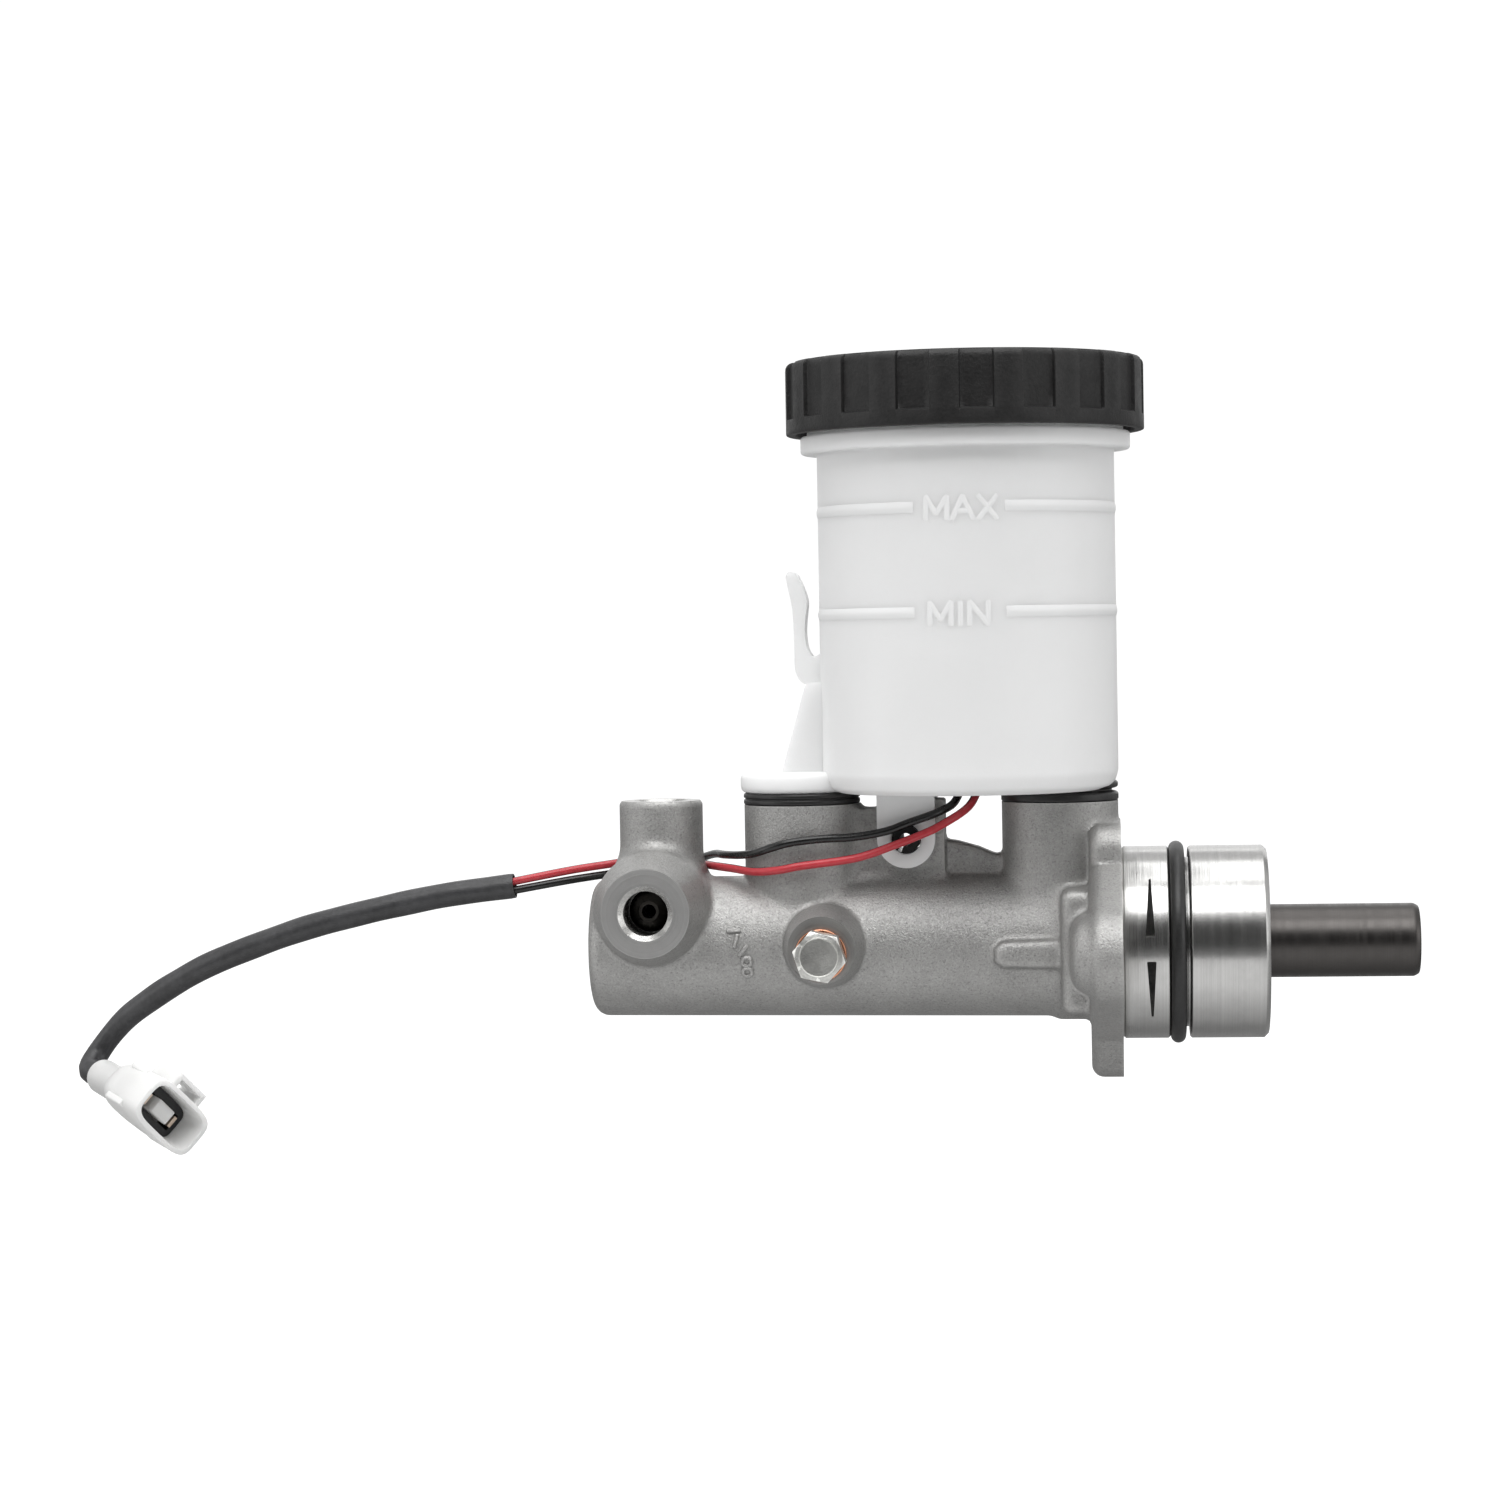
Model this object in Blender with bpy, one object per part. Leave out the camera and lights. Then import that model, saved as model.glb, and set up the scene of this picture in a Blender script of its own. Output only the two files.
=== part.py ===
"""Tandem brake master cylinder with its fluid reservoir and level switch lead.

Frame: the origin is the centre of the flange's rear mounting face, on the bore axis.
+X runs along the bore towards the push rod end, +Z runs up to the reservoir cap.
All sizes below are in millimetres and are turned into metres by MM.
"""

import math

import bmesh
import bpy
from mathutils import Matrix, Vector

MM = 0.001

# directions a turned piece or a hole can run along
ALONG_X = Vector((1, 0, 0))
ALONG_NEAR = Vector((0, -1, 0))
ALONG_FAR = Vector((0, 1, 0))
ALONG_Z = Vector((0, 0, 1))

# bore and pistons
BORE_R = 11.1
LAND_R = 10.9
WAIST_R = 6.5
NOSE_R = 5.0
CUP_GROOVE_R = 8.2
BORE_END_X = -103.5
MOUTH_X = 20.6
BORE_STEPS = 32

# cast body
FRONT_X = -113.0
SPIGOT_R = 20.3
SPIGOT_END_X = 30.4
FLANGE_T = 6.6
EAR_Y = 31.0
TOWER_R = 12.3
TOWER_TOP_Z = 30.2
FRONT_INLET_X = -67.5
REAR_INLET_X = -12.7
GROMMET_HOLE_R = 9.2
GROMMET_HOLE_Z = 18.5
OUTLET_X = -97.8
OUTLET_TOP_Z = 31.3
NEAR_PORT_X = -98.65
NEAR_PORT_Z = 8.8
FAR_PORT_X = -40.9
PORT_R = 4.9
PORT_FACE = 24.2
BOLT_X = -62.1
BOLT_BOSS_Z = 0.9
BOLT_FACE = 24.3
LUG_X = -45.0
LUG_Z = 22.8
LUG_HALF = 5.0

# reservoir and cap
TANK_X = -31.65
TANK_R = 31.4
TANK_BOTTOM_Z = 32.6
TANK_FLOOR_Z = 35.0
TANK_INNER_R = 29.4
NECK_R = 33.4
NECK_TOP_Z = 119.0
CAP_R = 37.8
CAP_BOTTOM_Z = 108.2
CAP_TOP_Z = 123.5
CAP_PANELS = 18
CAP_PANEL_PHASE = 5.95

# lead
WIRE_R = 0.87
WIRE_OFFSET = 0.95
SLEEVE_R = 2.8
SLEEVE_INNER_R = 2.25

# connector: its own frame has x forward out of the socket and z towards the latch
CONNECTOR_AT = Vector((-216.8, 0.6, -30.25))
CONNECTOR_FORWARD = Vector((0.685, -0.698, -0.207))
CONNECTOR_UP = Vector((0.589, 0.363, 0.722))


# ---------------------------------------------------------------- scene and helpers


def clear_scene():
    for item in list(bpy.data.objects):
        bpy.data.objects.remove(item, do_unlink=True)
    for group in list(bpy.data.collections):
        bpy.data.collections.remove(group)


def new_collection(name):
    group = bpy.data.collections.new(name)
    bpy.context.scene.collection.children.link(group)
    return group


clear_scene()
PARTS = new_collection("brake_master_cylinder")
TOOLS = new_collection("cutters_and_guides")


def place(x, y, z, direction=ALONG_Z):
    turn = direction.to_track_quat("Z", "Y").to_matrix().to_4x4()
    return Matrix.Translation(Vector((x, y, z)) * MM) @ turn


def material(name, colour, metallic, roughness):
    made = bpy.data.materials.new(name)
    made.use_nodes = True
    shader = made.node_tree.nodes["Principled BSDF"]
    shader.inputs["Base Color"].default_value = (*colour, 1)
    shader.inputs["Metallic"].default_value = metallic
    shader.inputs["Roughness"].default_value = roughness
    return made


def finish(name, bm, matrix, group):
    bmesh.ops.remove_doubles(bm, verts=bm.verts, dist=1e-6)
    bmesh.ops.recalc_face_normals(bm, faces=bm.faces)
    mesh = bpy.data.meshes.new(name)
    bm.to_mesh(mesh)
    bm.free()
    made = bpy.data.objects.new(name, mesh)
    made.matrix_world = matrix
    group.objects.link(made)
    if group is TOOLS:
        made.display_type = "WIRE"
        made.hide_render = True
    return made


def turned(name, profile, matrix, group=TOOLS, steps=28, ring=False, start=0, sweep=360):
    """A body of revolution: profile is (radius, height) pairs about the local Z axis."""
    bm = bmesh.new()
    turn = Matrix.Rotation(math.radians(start), 4, "Z")
    verts = [bm.verts.new(turn @ Vector((r * MM, 0, h * MM))) for r, h in profile]
    edges = [bm.edges.new(pair) for pair in zip(verts, verts[1:])]
    shape = verts + edges
    if ring:
        edges.append(bm.edges.new((verts[-1], verts[0])))
        shape = verts + edges
    if sweep < 360:
        shape = shape + [bm.faces.new(verts)]
    bmesh.ops.spin(
        bm, geom=shape, cent=(0, 0, 0), axis=(0, 0, 1), angle=math.radians(sweep), steps=steps
    )
    return finish(name, bm, matrix, group)


def rod(name, radius, low, high, matrix, group=TOOLS, steps=28):
    return turned(name, [(0, low), (radius, low), (radius, high), (0, high)], matrix, group, steps)


def prism(name, outline, low, high, matrix, group=TOOLS):
    """An extrusion: outline is (u, v) pairs in the local XY plane."""
    bm = bmesh.new()
    verts = [bm.verts.new((u * MM, v * MM, low * MM)) for u, v in outline]
    base = bm.faces.new(verts)
    made = bmesh.ops.extrude_face_region(bm, geom=[base])
    moved = [v for v in made["geom"] if isinstance(v, bmesh.types.BMVert)]
    bmesh.ops.translate(bm, verts=moved, vec=(0, 0, (high - low) * MM))
    return finish(name, bm, matrix, group)


def box(name, low, high, matrix=Matrix(), group=TOOLS, edge=0.0):
    bm = bmesh.new()
    bmesh.ops.create_cube(bm, size=1)
    size = [b - a for a, b in zip(low, high)]
    middle = [(a + b) / 2 for a, b in zip(low, high)]
    bmesh.ops.scale(bm, vec=[s * MM for s in size], verts=bm.verts)
    bmesh.ops.translate(bm, vec=[m * MM for m in middle], verts=bm.verts)
    if edge:
        bmesh.ops.bevel(
            bm, geom=bm.edges[:], offset=edge * MM, segments=2, profile=0.5, affect="EDGES"
        )
    return finish(name, bm, matrix, group)


def arc(cx, cy, radius, first, last, count):
    """Points on an arc, angles in degrees."""
    found = []
    for k in range(count + 1):
        a = math.radians(first + (last - first) * k / count)
        found.append((cx + radius * math.cos(a), cy + radius * math.sin(a)))
    return found


def hull(circles, count=32):
    """Outline around a set of circles."""
    cloud = [p for c in circles for p in arc(*c, 0, 360, count)]
    cloud = sorted(set((round(x, 5), round(y, 5)) for x, y in cloud))
    halves = []
    for points in (cloud, cloud[::-1]):
        chain = []
        for p in points:
            while len(chain) > 1 and turn_of(chain[-2], chain[-1], p) <= 1e-9:
                chain.pop()
            chain.append(p)
        halves += chain[:-1]
    return halves


def turn_of(a, b, c):
    return (b[0] - a[0]) * (c[1] - a[1]) - (b[1] - a[1]) * (c[0] - a[0])


def combine(target, how, *others):
    """One exact Boolean of the target with a collection of tools."""
    group = bpy.data.collections.new(f"{target.name}_{how.lower()}_{len(target.modifiers)}")
    TOOLS.children.link(group)
    for other in others:
        TOOLS.objects.unlink(other)
        group.objects.link(other)
    step = target.modifiers.new(how.lower(), "BOOLEAN")
    step.operation = how
    step.solver = "EXACT"
    step.operand_type = "COLLECTION"
    step.collection = group


def add(target, *others):
    combine(target, "UNION", *others)


def cut(target, *others):
    combine(target, "DIFFERENCE", *others)


def dress(target, look, angle=35):
    target.data.materials.clear()
    target.data.materials.append(look)
    target.data.shade_smooth()
    target.data.set_sharp_from_angle(angle=math.radians(angle))
    for step in target.modifiers:
        if step.type == "BOOLEAN":
            step.material_mode = "INDEX"


# ---------------------------------------------------------------- cast body


def body_casting():
    """Barrel and spigot turned in one, with flange, towers, bosses, lug and ribs joined on."""
    profile = [
        (0, FRONT_X), (11.8, FRONT_X), (13.8, FRONT_X + 0.8), (14.7, FRONT_X + 2.8),
        (15.5, -14.0), (16.4, -12.6), (16.4, -3.0), (SPIGOT_R, -3.0), (SPIGOT_R, 9.9),
        (17.9, 9.9), (17.9, 14.0), (SPIGOT_R, 14.0), (SPIGOT_R, SPIGOT_END_X - 1.0),
        (SPIGOT_R - 1.0, SPIGOT_END_X), (0, SPIGOT_END_X),
    ]
    body = turned("cylinder_body", profile, place(0, 0, 0, ALONG_X), PARTS, 40)
    add(body, flange_plate(), ear_pads(), *bosses(), *towers(), *lug_and_webs())
    return body


def flange_plate():
    crown = [(9, 17.5, 8), (-9, 17.5, 8)]
    outline = hull([(0, 0, 23.3), (EAR_Y, 0, 10), (-EAR_Y, 0, 10), (0, -19.6, 9), *crown])
    plate = prism("flange_plate", outline, -FLANGE_T, 0, yz_plane())
    return plate


def yz_plane():
    """Local x is +Y, local y is +Z and local z is +X."""
    return Matrix(((0, 0, 1, 0), (1, 0, 0, 0), (0, 1, 0, 0), (0, 0, 0, 1)))


def xz_plane():
    """Local x is +X, local y is +Z and local z is -Y."""
    return Matrix(((1, 0, 0, 0), (0, 0, -1, 0), (0, 1, 0, 0), (0, 0, 0, 1)))


def ear_pads():
    outline = hull([(EAR_Y, 0, 8.9), (-EAR_Y, 0, 8.9)], 24)
    return prism("ear_pads", outline, -10.3, -1.2, yz_plane())


def bosses():
    near = turned(
        "near_outlet_boss",
        [(0, 1), (12.2, 1), (12.2, 13.0), (9.3, PORT_FACE), (0, PORT_FACE)],
        place(NEAR_PORT_X, 0, NEAR_PORT_Z, ALONG_NEAR),
    )
    far = turned(
        "far_outlet_boss",
        [(0, 2), (11.0, 2), (11.0, 13.5), (9.5, 17.0), (9.4, PORT_FACE), (0, PORT_FACE)],
        place(FAR_PORT_X, 0, 0, ALONG_FAR),
    )
    bolt = turned(
        "stop_bolt_boss",
        [(0, 3), (8.6, 3), (8.6, 15.0), (7.1, BOLT_FACE), (0, BOLT_FACE)],
        place(BOLT_X, 0, BOLT_BOSS_Z, ALONG_NEAR),
    )
    return near, far, bolt


def towers():
    found = []
    for name, x in (("front", FRONT_INLET_X), ("rear", REAR_INLET_X)):
        found.append(rod(name + "_inlet_tower", TOWER_R, 1.5, TOWER_TOP_Z, place(x, 0, 0)))
    outlet = [(0, 1), (9.3, 1), (9.3, 16), (8.9, 19), (8.9, OUTLET_TOP_Z), (0, OUTLET_TOP_Z)]
    found.append(turned("top_outlet_tower", outlet, place(OUTLET_X, 0, 0)))
    return found


def lug_and_webs():
    lug = [(-62, 8), (-37.0, 8), (-37.0, 28.0)]
    lug += arc(-39.8, 28.2, 2.8, 0, 90, 4)
    lug += [(-50.0, 31.0), (-52.0, 29.2), (-62, 29.2)]
    web = [(-39, 8), (-20, 8), (-20, 19.2), (-26.5, 19.2), (-30.0, 20.7), (-34.5, 22.0), (-39, 22.6)]
    rib = [(-25.0, 2.7), (-26.5, 1.2), (-26.5, -1.6), (-25.0, -3.1), (-9, -3.3), (-9, 2.9)]
    return (
        prism("pin_lug", lug, -LUG_HALF, LUG_HALF, xz_plane()),
        prism("rear_web", web, -3.0, 3.0, xz_plane()),
        prism("near_rib", rib, 12.0, 17.6, xz_plane()),
        prism("far_rib", rib, -17.6, -12.0, xz_plane()),
    )


def machined_bore():
    profile = [
        (0, BORE_END_X), (BORE_R, BORE_END_X), (BORE_R, MOUTH_X), (12.6, MOUTH_X),
        (12.6, 26.95), (13.7, 26.95), (13.7, 28.55), (12.6, 28.55), (12.6, 34), (0, 34),
    ]
    return turned("bore_cutter", profile, place(0, 0, 0, ALONG_X), steps=BORE_STEPS)


def port_cutter(name, bottom, inner, outer, matrix):
    """Threaded port drilled as its bore, with an entry chamfer and a passage to the chamber."""
    profile = [
        (0, inner), (1.5, inner), (1.5, bottom), (PORT_R, bottom), (PORT_R, outer - 1.0),
        (PORT_R + 1.3, outer + 0.3), (PORT_R + 1.3, outer + 3), (0, outer + 3),
    ]
    return turned(name, profile, matrix)


def drilled_holes():
    holes = [
        port_cutter("near_port", 12.3, 3.0, PORT_FACE, place(NEAR_PORT_X, 0, NEAR_PORT_Z, ALONG_NEAR)),
        port_cutter("far_port", 13.0, 9.0, PORT_FACE, place(FAR_PORT_X, 0, 0, ALONG_FAR)),
        port_cutter("top_port", 17.0, 9.0, OUTLET_TOP_Z, place(OUTLET_X, 0, 0)),
        rod("stop_bolt_hole", 3.2, 9.0, 30.0, place(BOLT_X, 0, 0, ALONG_NEAR), steps=24),
        rod("pin_hole", 3.15, -9.0, 9.0, place(LUG_X, 0, LUG_Z, ALONG_NEAR), steps=24),
    ]
    for side in (-1, 1):
        matrix = place(0, side * EAR_Y, 0, ALONG_X)
        holes.append(rod("stud_hole_" + ("near" if side < 0 else "far"), 4.3, -14, 4, matrix))
    return holes


def inlet_holes():
    holes = []
    for name, x, feed, small in (
        ("front", FRONT_INLET_X, -62.0, -74.6),
        ("rear", REAR_INLET_X, -8.8, -18.4),
    ):
        recess = rod(name + "_grommet_hole", GROMMET_HOLE_R, GROMMET_HOLE_Z, 40, place(x, 0, 0))
        feed_hole = rod(name + "_feed_hole", 1.5, 9.0, 20, place(feed, 0, 0), steps=16)
        small_hole = rod(name + "_compensating_hole", 0.6, 9.0, 20, place(small, 0, 0), steps=12)
        holes += [recess, feed_hole, small_hole]
    return holes


def spigot_pockets():
    """Narrow cast pockets, one above and one below the bore axis, on both sides."""
    upper = [(5.8, 14.3), (4.7, 2.7), (6.7, 2.7)]
    lower = [(4.95, -2.4), (6.0, -14.4), (6.9, -2.4)]
    found = []
    for name, outline in (("upper", upper), ("lower", lower)):
        found.append(prism(name + "_near_pocket", outline, 13.0, 24.0, xz_plane()))
        found.append(prism(name + "_far_pocket", outline, -24.0, -13.0, xz_plane()))
    return found


def cylinder_body():
    body = body_casting()
    cut(body, machined_bore(), *drilled_holes(), *inlet_holes(), *spigot_pockets())
    dress(body, material("cast_aluminium", (0.42, 0.42, 0.41), 1.0, 0.45))


# ---------------------------------------------------------------- pieces fixed in the body


def o_ring():
    section = [(19.75 + u, 11.6 + v) for u, v in arc(0, 0, 1.6, 0, 315, 7)]
    ring = turned("spigot_o_ring", section, place(0, 0, 0, ALONG_X), PARTS, 40, ring=True)
    dress(ring, material("o_ring_rubber", (0.012, 0.012, 0.012), 0, 0.5), 60)


def stop_bolt():
    profile = [
        (0, 7.5), (1.9, 7.5), (1.9, 11.2), (2.9, 12.2), (2.9, 27.0), (4.2, 27.0), (4.2, 31.2), (0, 31.2),
    ]
    matrix = place(BOLT_X, 0, 0, ALONG_NEAR)
    bolt = turned("stop_bolt", profile, matrix, PARTS, 24)
    head = prism("stop_bolt_hexagon", arc(0, 0, 5.77, 10.5, 370.5, 6)[:-1], 26.0, 30.8, matrix)
    add(bolt, head)
    dress(bolt, material("zinc_plated_steel", (0.55, 0.55, 0.53), 1.0, 0.3))
    section = [(3.2, 24.6), (5.9, 24.6), (5.9, 25.7), (3.2, 25.7)]
    washer = turned("stop_bolt_washer", section, matrix, PARTS, 32, ring=True)
    dress(washer, material("copper", (0.72, 0.33, 0.18), 1.0, 0.3))


def tube_seats():
    """Conical seats pressed into the three outlet ports."""
    brass = material("seat_brass", (0.6, 0.5, 0.33), 1.0, 0.35)
    spots = (
        ("tube_seat_near", 12.6, place(NEAR_PORT_X, 0, NEAR_PORT_Z, ALONG_NEAR)),
        ("tube_seat_far", 13.3, place(FAR_PORT_X, 0, 0, ALONG_FAR)),
        ("tube_seat_top", 17.3, place(OUTLET_X, 0, 0)),
    )
    for name, low, matrix in spots:
        section = [(1.5, low), (4.5, low), (4.5, low + 1.8), (2.1, low + 4.8), (1.5, low + 4.8)]
        seat = turned(name, section, matrix, PARTS, 24, ring=True)
        dress(seat, brass)


def mouth_rings():
    """Guide ring that stops the primary piston, and the snap ring that holds it."""
    section = [(7.95, 20.9), (12.35, 20.9), (12.35, 26.6), (7.95, 26.6)]
    guide = turned("piston_stop_ring", section, place(0, 0, 0, ALONG_X), PARTS, 40, ring=True)
    dress(guide, material("guide_steel", (0.35, 0.35, 0.34), 1.0, 0.35))
    outline = arc(0, 0, 13.4, 20, 340, 40) + arc(0, 0, 11.4, 340, 20, 40)
    ring = prism("snap_ring", outline, 27.2, 28.3, yz_plane(), PARTS)
    dress(ring, material("spring_steel", (0.22, 0.22, 0.22), 1.0, 0.3))


# ---------------------------------------------------------------- pistons, cups and springs


def primary_piston():
    profile = [
        (0, -9.0), (2.2, -9.0), (2.2, -19.2), (NOSE_R, -19.2), (NOSE_R, -14.0), (LAND_R, -14.0),
        (LAND_R, -10.5), (WAIST_R, -10.5), (WAIST_R, 14.0), (LAND_R, 14.0), (LAND_R, 15.4),
        (CUP_GROOVE_R, 15.4), (CUP_GROOVE_R, 18.6), (LAND_R, 18.6), (LAND_R, 20.4), (7.7, 20.4),
        (7.7, 60.8), (7.3, 61.7), (6.5, 62.0), (4.2, 62.0), (4.2, 53.0), (0, 51.0),
    ]
    piston = turned("primary_piston", profile, place(0, 0, 0, ALONG_X), PARTS, BORE_STEPS)
    dress(piston, material("dark_rod_steel", (0.09, 0.083, 0.078), 1.0, 0.35))


def secondary_piston():
    profile = [
        (0, -75.4), (NOSE_R, -75.4), (NOSE_R, -70.2), (LAND_R, -70.2), (LAND_R, -64.3),
        (WAIST_R, -64.3), (WAIST_R, -49.2), (LAND_R, -49.2), (LAND_R, -48.0),
        (CUP_GROOVE_R, -48.0), (CUP_GROOVE_R, -44.8), (LAND_R, -44.8), (LAND_R, -43.5),
        (4.4, -43.5), (4.4, -46.5), (0, -46.5),
    ]
    piston = turned("secondary_piston", profile, place(0, 0, 0, ALONG_X), PARTS, BORE_STEPS)
    dress(piston, material("piston_aluminium", (0.6, 0.6, 0.58), 1.0, 0.3))


def cups_and_washers():
    """Pressure cups with a forward lip, the rear cups in their grooves, and the spring washers."""
    rubber = material("cup_rubber", (0.015, 0.015, 0.016), 0, 0.55)
    steel = material("washer_steel", (0.4, 0.4, 0.39), 1.0, 0.35)
    line = place(0, 0, 0, ALONG_X)
    for name, back in (("primary_front_cup", -14.3), ("secondary_front_cup", -70.5)):
        section = [
            (5.25, back), (10.6, back), (LAND_R, back - 3.0), (9.7, back - 3.0),
            (9.3, back - 1.4), (5.25, back - 1.4),
        ]
        dress(turned(name, section, line, PARTS, BORE_STEPS, ring=True), rubber)
    for name, middle in (("primary_rear_cup", 17.0), ("secondary_rear_cup", -46.4)):
        low, high = middle - 1.3, middle + 1.3
        section = [(8.45, low), (LAND_R, low), (LAND_R, high), (8.45, high)]
        dress(turned(name, section, line, PARTS, BORE_STEPS, ring=True), rubber)
    for name, high in (("primary_spring_washer", -16.0), ("secondary_spring_washer", -72.2)):
        section = [(5.3, high - 1.0), (8.9, high - 1.0), (8.9, high), (5.3, high)]
        dress(turned(name, section, line, PARTS, 24, ring=True), steel)


def spring_cage():
    """Telescoping cup and screw that keep the primary spring at its fitted length."""
    line = place(0, 0, 0, ALONG_X)
    section = [
        (4.2, -43.15), (8.9, -43.15), (8.9, -42.3), (5.0, -42.3), (5.0, -30.0), (2.4, -30.0),
        (2.4, -31.0), (4.2, -31.0),
    ]
    cage = turned("spring_retainer", section, line, PARTS, 24, ring=True)
    dress(cage, material("retainer_steel", (0.45, 0.44, 0.4), 1.0, 0.35))
    profile = [(0, -33.5), (3.7, -33.5), (3.7, -31.3), (2.0, -31.3), (2.0, -9.4), (0, -9.4)]
    screw = turned("retainer_screw", profile, line, PARTS, 20)
    dress(screw, material("screw_steel", (0.4, 0.4, 0.4), 1.0, 0.3))


def coil(name, low, high, radius, wire, turns, look):
    """A wire spring with closed ends, along X."""
    per_turn = 14
    total = int(turns * per_turn)
    data = bpy.data.curves.new(name, "CURVE")
    data.dimensions = "3D"
    data.bevel_depth = wire * MM
    data.bevel_resolution = 2
    data.render_resolution_u = 0
    data.use_fill_caps = True
    line = data.splines.new("POLY")
    line.points.add(total)
    for k, point in enumerate(line.points):
        t = k / total
        angle = 2 * math.pi * turns * t
        ends = 1.0 / turns
        inner = min(max((t - ends) / (1 - 2 * ends), 0.0), 1.0)
        close = 2.15 * wire
        travel = high - low - 2 * close
        x = low + close * min(t / ends, 1) + travel * inner + close * max((t - 1 + ends) / ends, 0)
        point.co = (x * MM, radius * math.cos(angle) * MM, radius * math.sin(angle) * MM, 1)
    made = bpy.data.objects.new(name, data)
    PARTS.objects.link(made)
    data.materials.append(look)
    return made


def springs():
    steel = material("coil_steel", (0.3, 0.3, 0.3), 1.0, 0.3)
    coil("primary_spring", -40.8, -18.5, 7.2, 1.1, 5.0, steel)
    coil("secondary_spring", -102.0, -74.8, 7.2, 1.1, 6.0, steel)


# ---------------------------------------------------------------- reservoir


def tank_shell():
    profile = [
        (0, TANK_BOTTOM_Z), (27.8, TANK_BOTTOM_Z), (30.4, 33.6), (TANK_R, 36.4),
        (TANK_R, 104.2), (34.8, 104.2), (34.8, 107.9), (NECK_R, 107.9), (NECK_R, NECK_TOP_Z),
        (0, NECK_TOP_Z),
    ]
    return turned("reservoir", profile, place(TANK_X, 0, 0), PARTS, 44)


def tank_outside():
    """Front nipple plate and duct, hook, fixing tabs and level bars."""
    plate = rod("nipple_plate", 12.6, 32.8, 37.2, place(-67.9, 0, 0))
    duct = prism("duct_outer", [(-71.5, 36), (-60, 36), (-60, 56), (-65.8, 56)], -6.3, 6.3, xz_plane())
    hook_line = [
        (-69.7, 79.7), (-70.4, 78.7), (-69.0, 71.8), (-68.8, 67.1), (-68.7, 58.6), (-67.7, 56.3),
        (-65.8, 55.4), (-62.6, 55.4), (-62.6, 62.6), (-64.0, 61.7), (-65.0, 61.4), (-66.1, 63.3),
        (-66.5, 66.5), (-66.3, 69.4), (-65.8, 73.1), (-66.6, 76.0), (-68.2, 79.3),
    ]
    hook = prism("hook", hook_line, -3.5, 3.5, xz_plane())
    tab_line = [(-51.1, 34.4), (-51.1, LUG_Z)] + arc(LUG_X, LUG_Z, 6.1, 180, 360, 12)[1:-1]
    tab_line += [(-38.9, LUG_Z), (-38.9, 34.4)]
    near_tab = prism("near_tab", tab_line, 5.5, 8.3, xz_plane())
    far_tab = prism("far_tab", tab_line, -8.3, -5.5, xz_plane())
    bars = []
    for name, z in (("upper", 92.5), ("lower", 70.9)):
        for side, start, sweep in (("left", 170, 76), ("right", 283, 76)):
            section = [(30.9, z - 0.85), (31.8, z - 0.7), (31.8, z + 0.7), (30.9, z + 0.85)]
            bars.append(
                turned(
                    f"{name}_{side}_bar", section, place(TANK_X, 0, 0), TOOLS, 10,
                    ring=True, start=start, sweep=sweep,
                )
            )
    return [plate, duct, hook, near_tab, far_tab] + bars


def tank_hollow():
    cavity = [(0, TANK_FLOOR_Z), (27.2, TANK_FLOOR_Z), (29.4, 37.2), (TANK_INNER_R, 130), (0, 130)]
    duct = [(-69.9, 35.4), (-58, 35.4), (-58, 53.6), (-64.6, 53.6)]
    return (
        turned("tank_cavity", cavity, place(TANK_X, 0, 0), steps=44),
        prism("duct_inner", duct, -4.3, 4.3, xz_plane()),
    )


def tank_inside():
    """Divider between the two circuits, and the post the float slides on."""
    divider = box("divider", (-50.2, -24.5, 34), (-48.4, 24.5, 60))
    post = rod("float_post", 5.2, 34, 66, place(TANK_X, 0, 0))
    return divider, post


def reservoir():
    tank = tank_shell()
    add(tank, *tank_outside())
    cut(tank, *tank_hollow())
    add(tank, *tank_inside())
    front = rod("front_nipple", 6.3, 21.6, 34, place(FRONT_INLET_X, 0, 0))
    rear = rod("rear_nipple", 6.3, 21.6, 34, place(REAR_INLET_X, 0, 0))
    add(tank, front, rear)
    drills = [
        rod("front_nipple_bore", 4.0, 18, 36, place(FRONT_INLET_X, 0, 0), steps=24),
        rod("rear_nipple_bore", 4.0, 18, 40, place(REAR_INLET_X, 0, 0), steps=24),
        rod("switch_bore", 3.8, 28, 63.5, place(TANK_X, 0, 0), steps=24),
        rod("tab_hole", 3.15, -12, 12, place(LUG_X, 0, LUG_Z, ALONG_NEAR), steps=24),
    ]
    cut(tank, *drills)
    dress(tank, material("white_polypropylene", (0.78, 0.79, 0.78), 0, 0.4))


def grommets():
    rubber = material("grommet_rubber", (0.013, 0.013, 0.014), 0, 0.5)
    for name, x in (("front_grommet", FRONT_INLET_X), ("rear_grommet", REAR_INLET_X)):
        section = [
            (6.55, 18.8), (8.95, 18.8), (8.95, 30.45), (12.2, 30.45), (12.2, 32.4), (6.55, 32.4),
        ]
        dress(turned(name, section, place(x, 0, 0), PARTS, 32, ring=True), rubber)


def spring_pin():
    section = [(1.7, -9.4), (2.95, -9.4), (2.95, 9.4), (1.7, 9.4)]
    pin = turned("reservoir_pin", section, place(LUG_X, 0, LUG_Z, ALONG_NEAR), PARTS, 24, ring=True)
    dress(pin, material("blackened_steel", (0.05, 0.05, 0.05), 1.0, 0.4))


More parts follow.
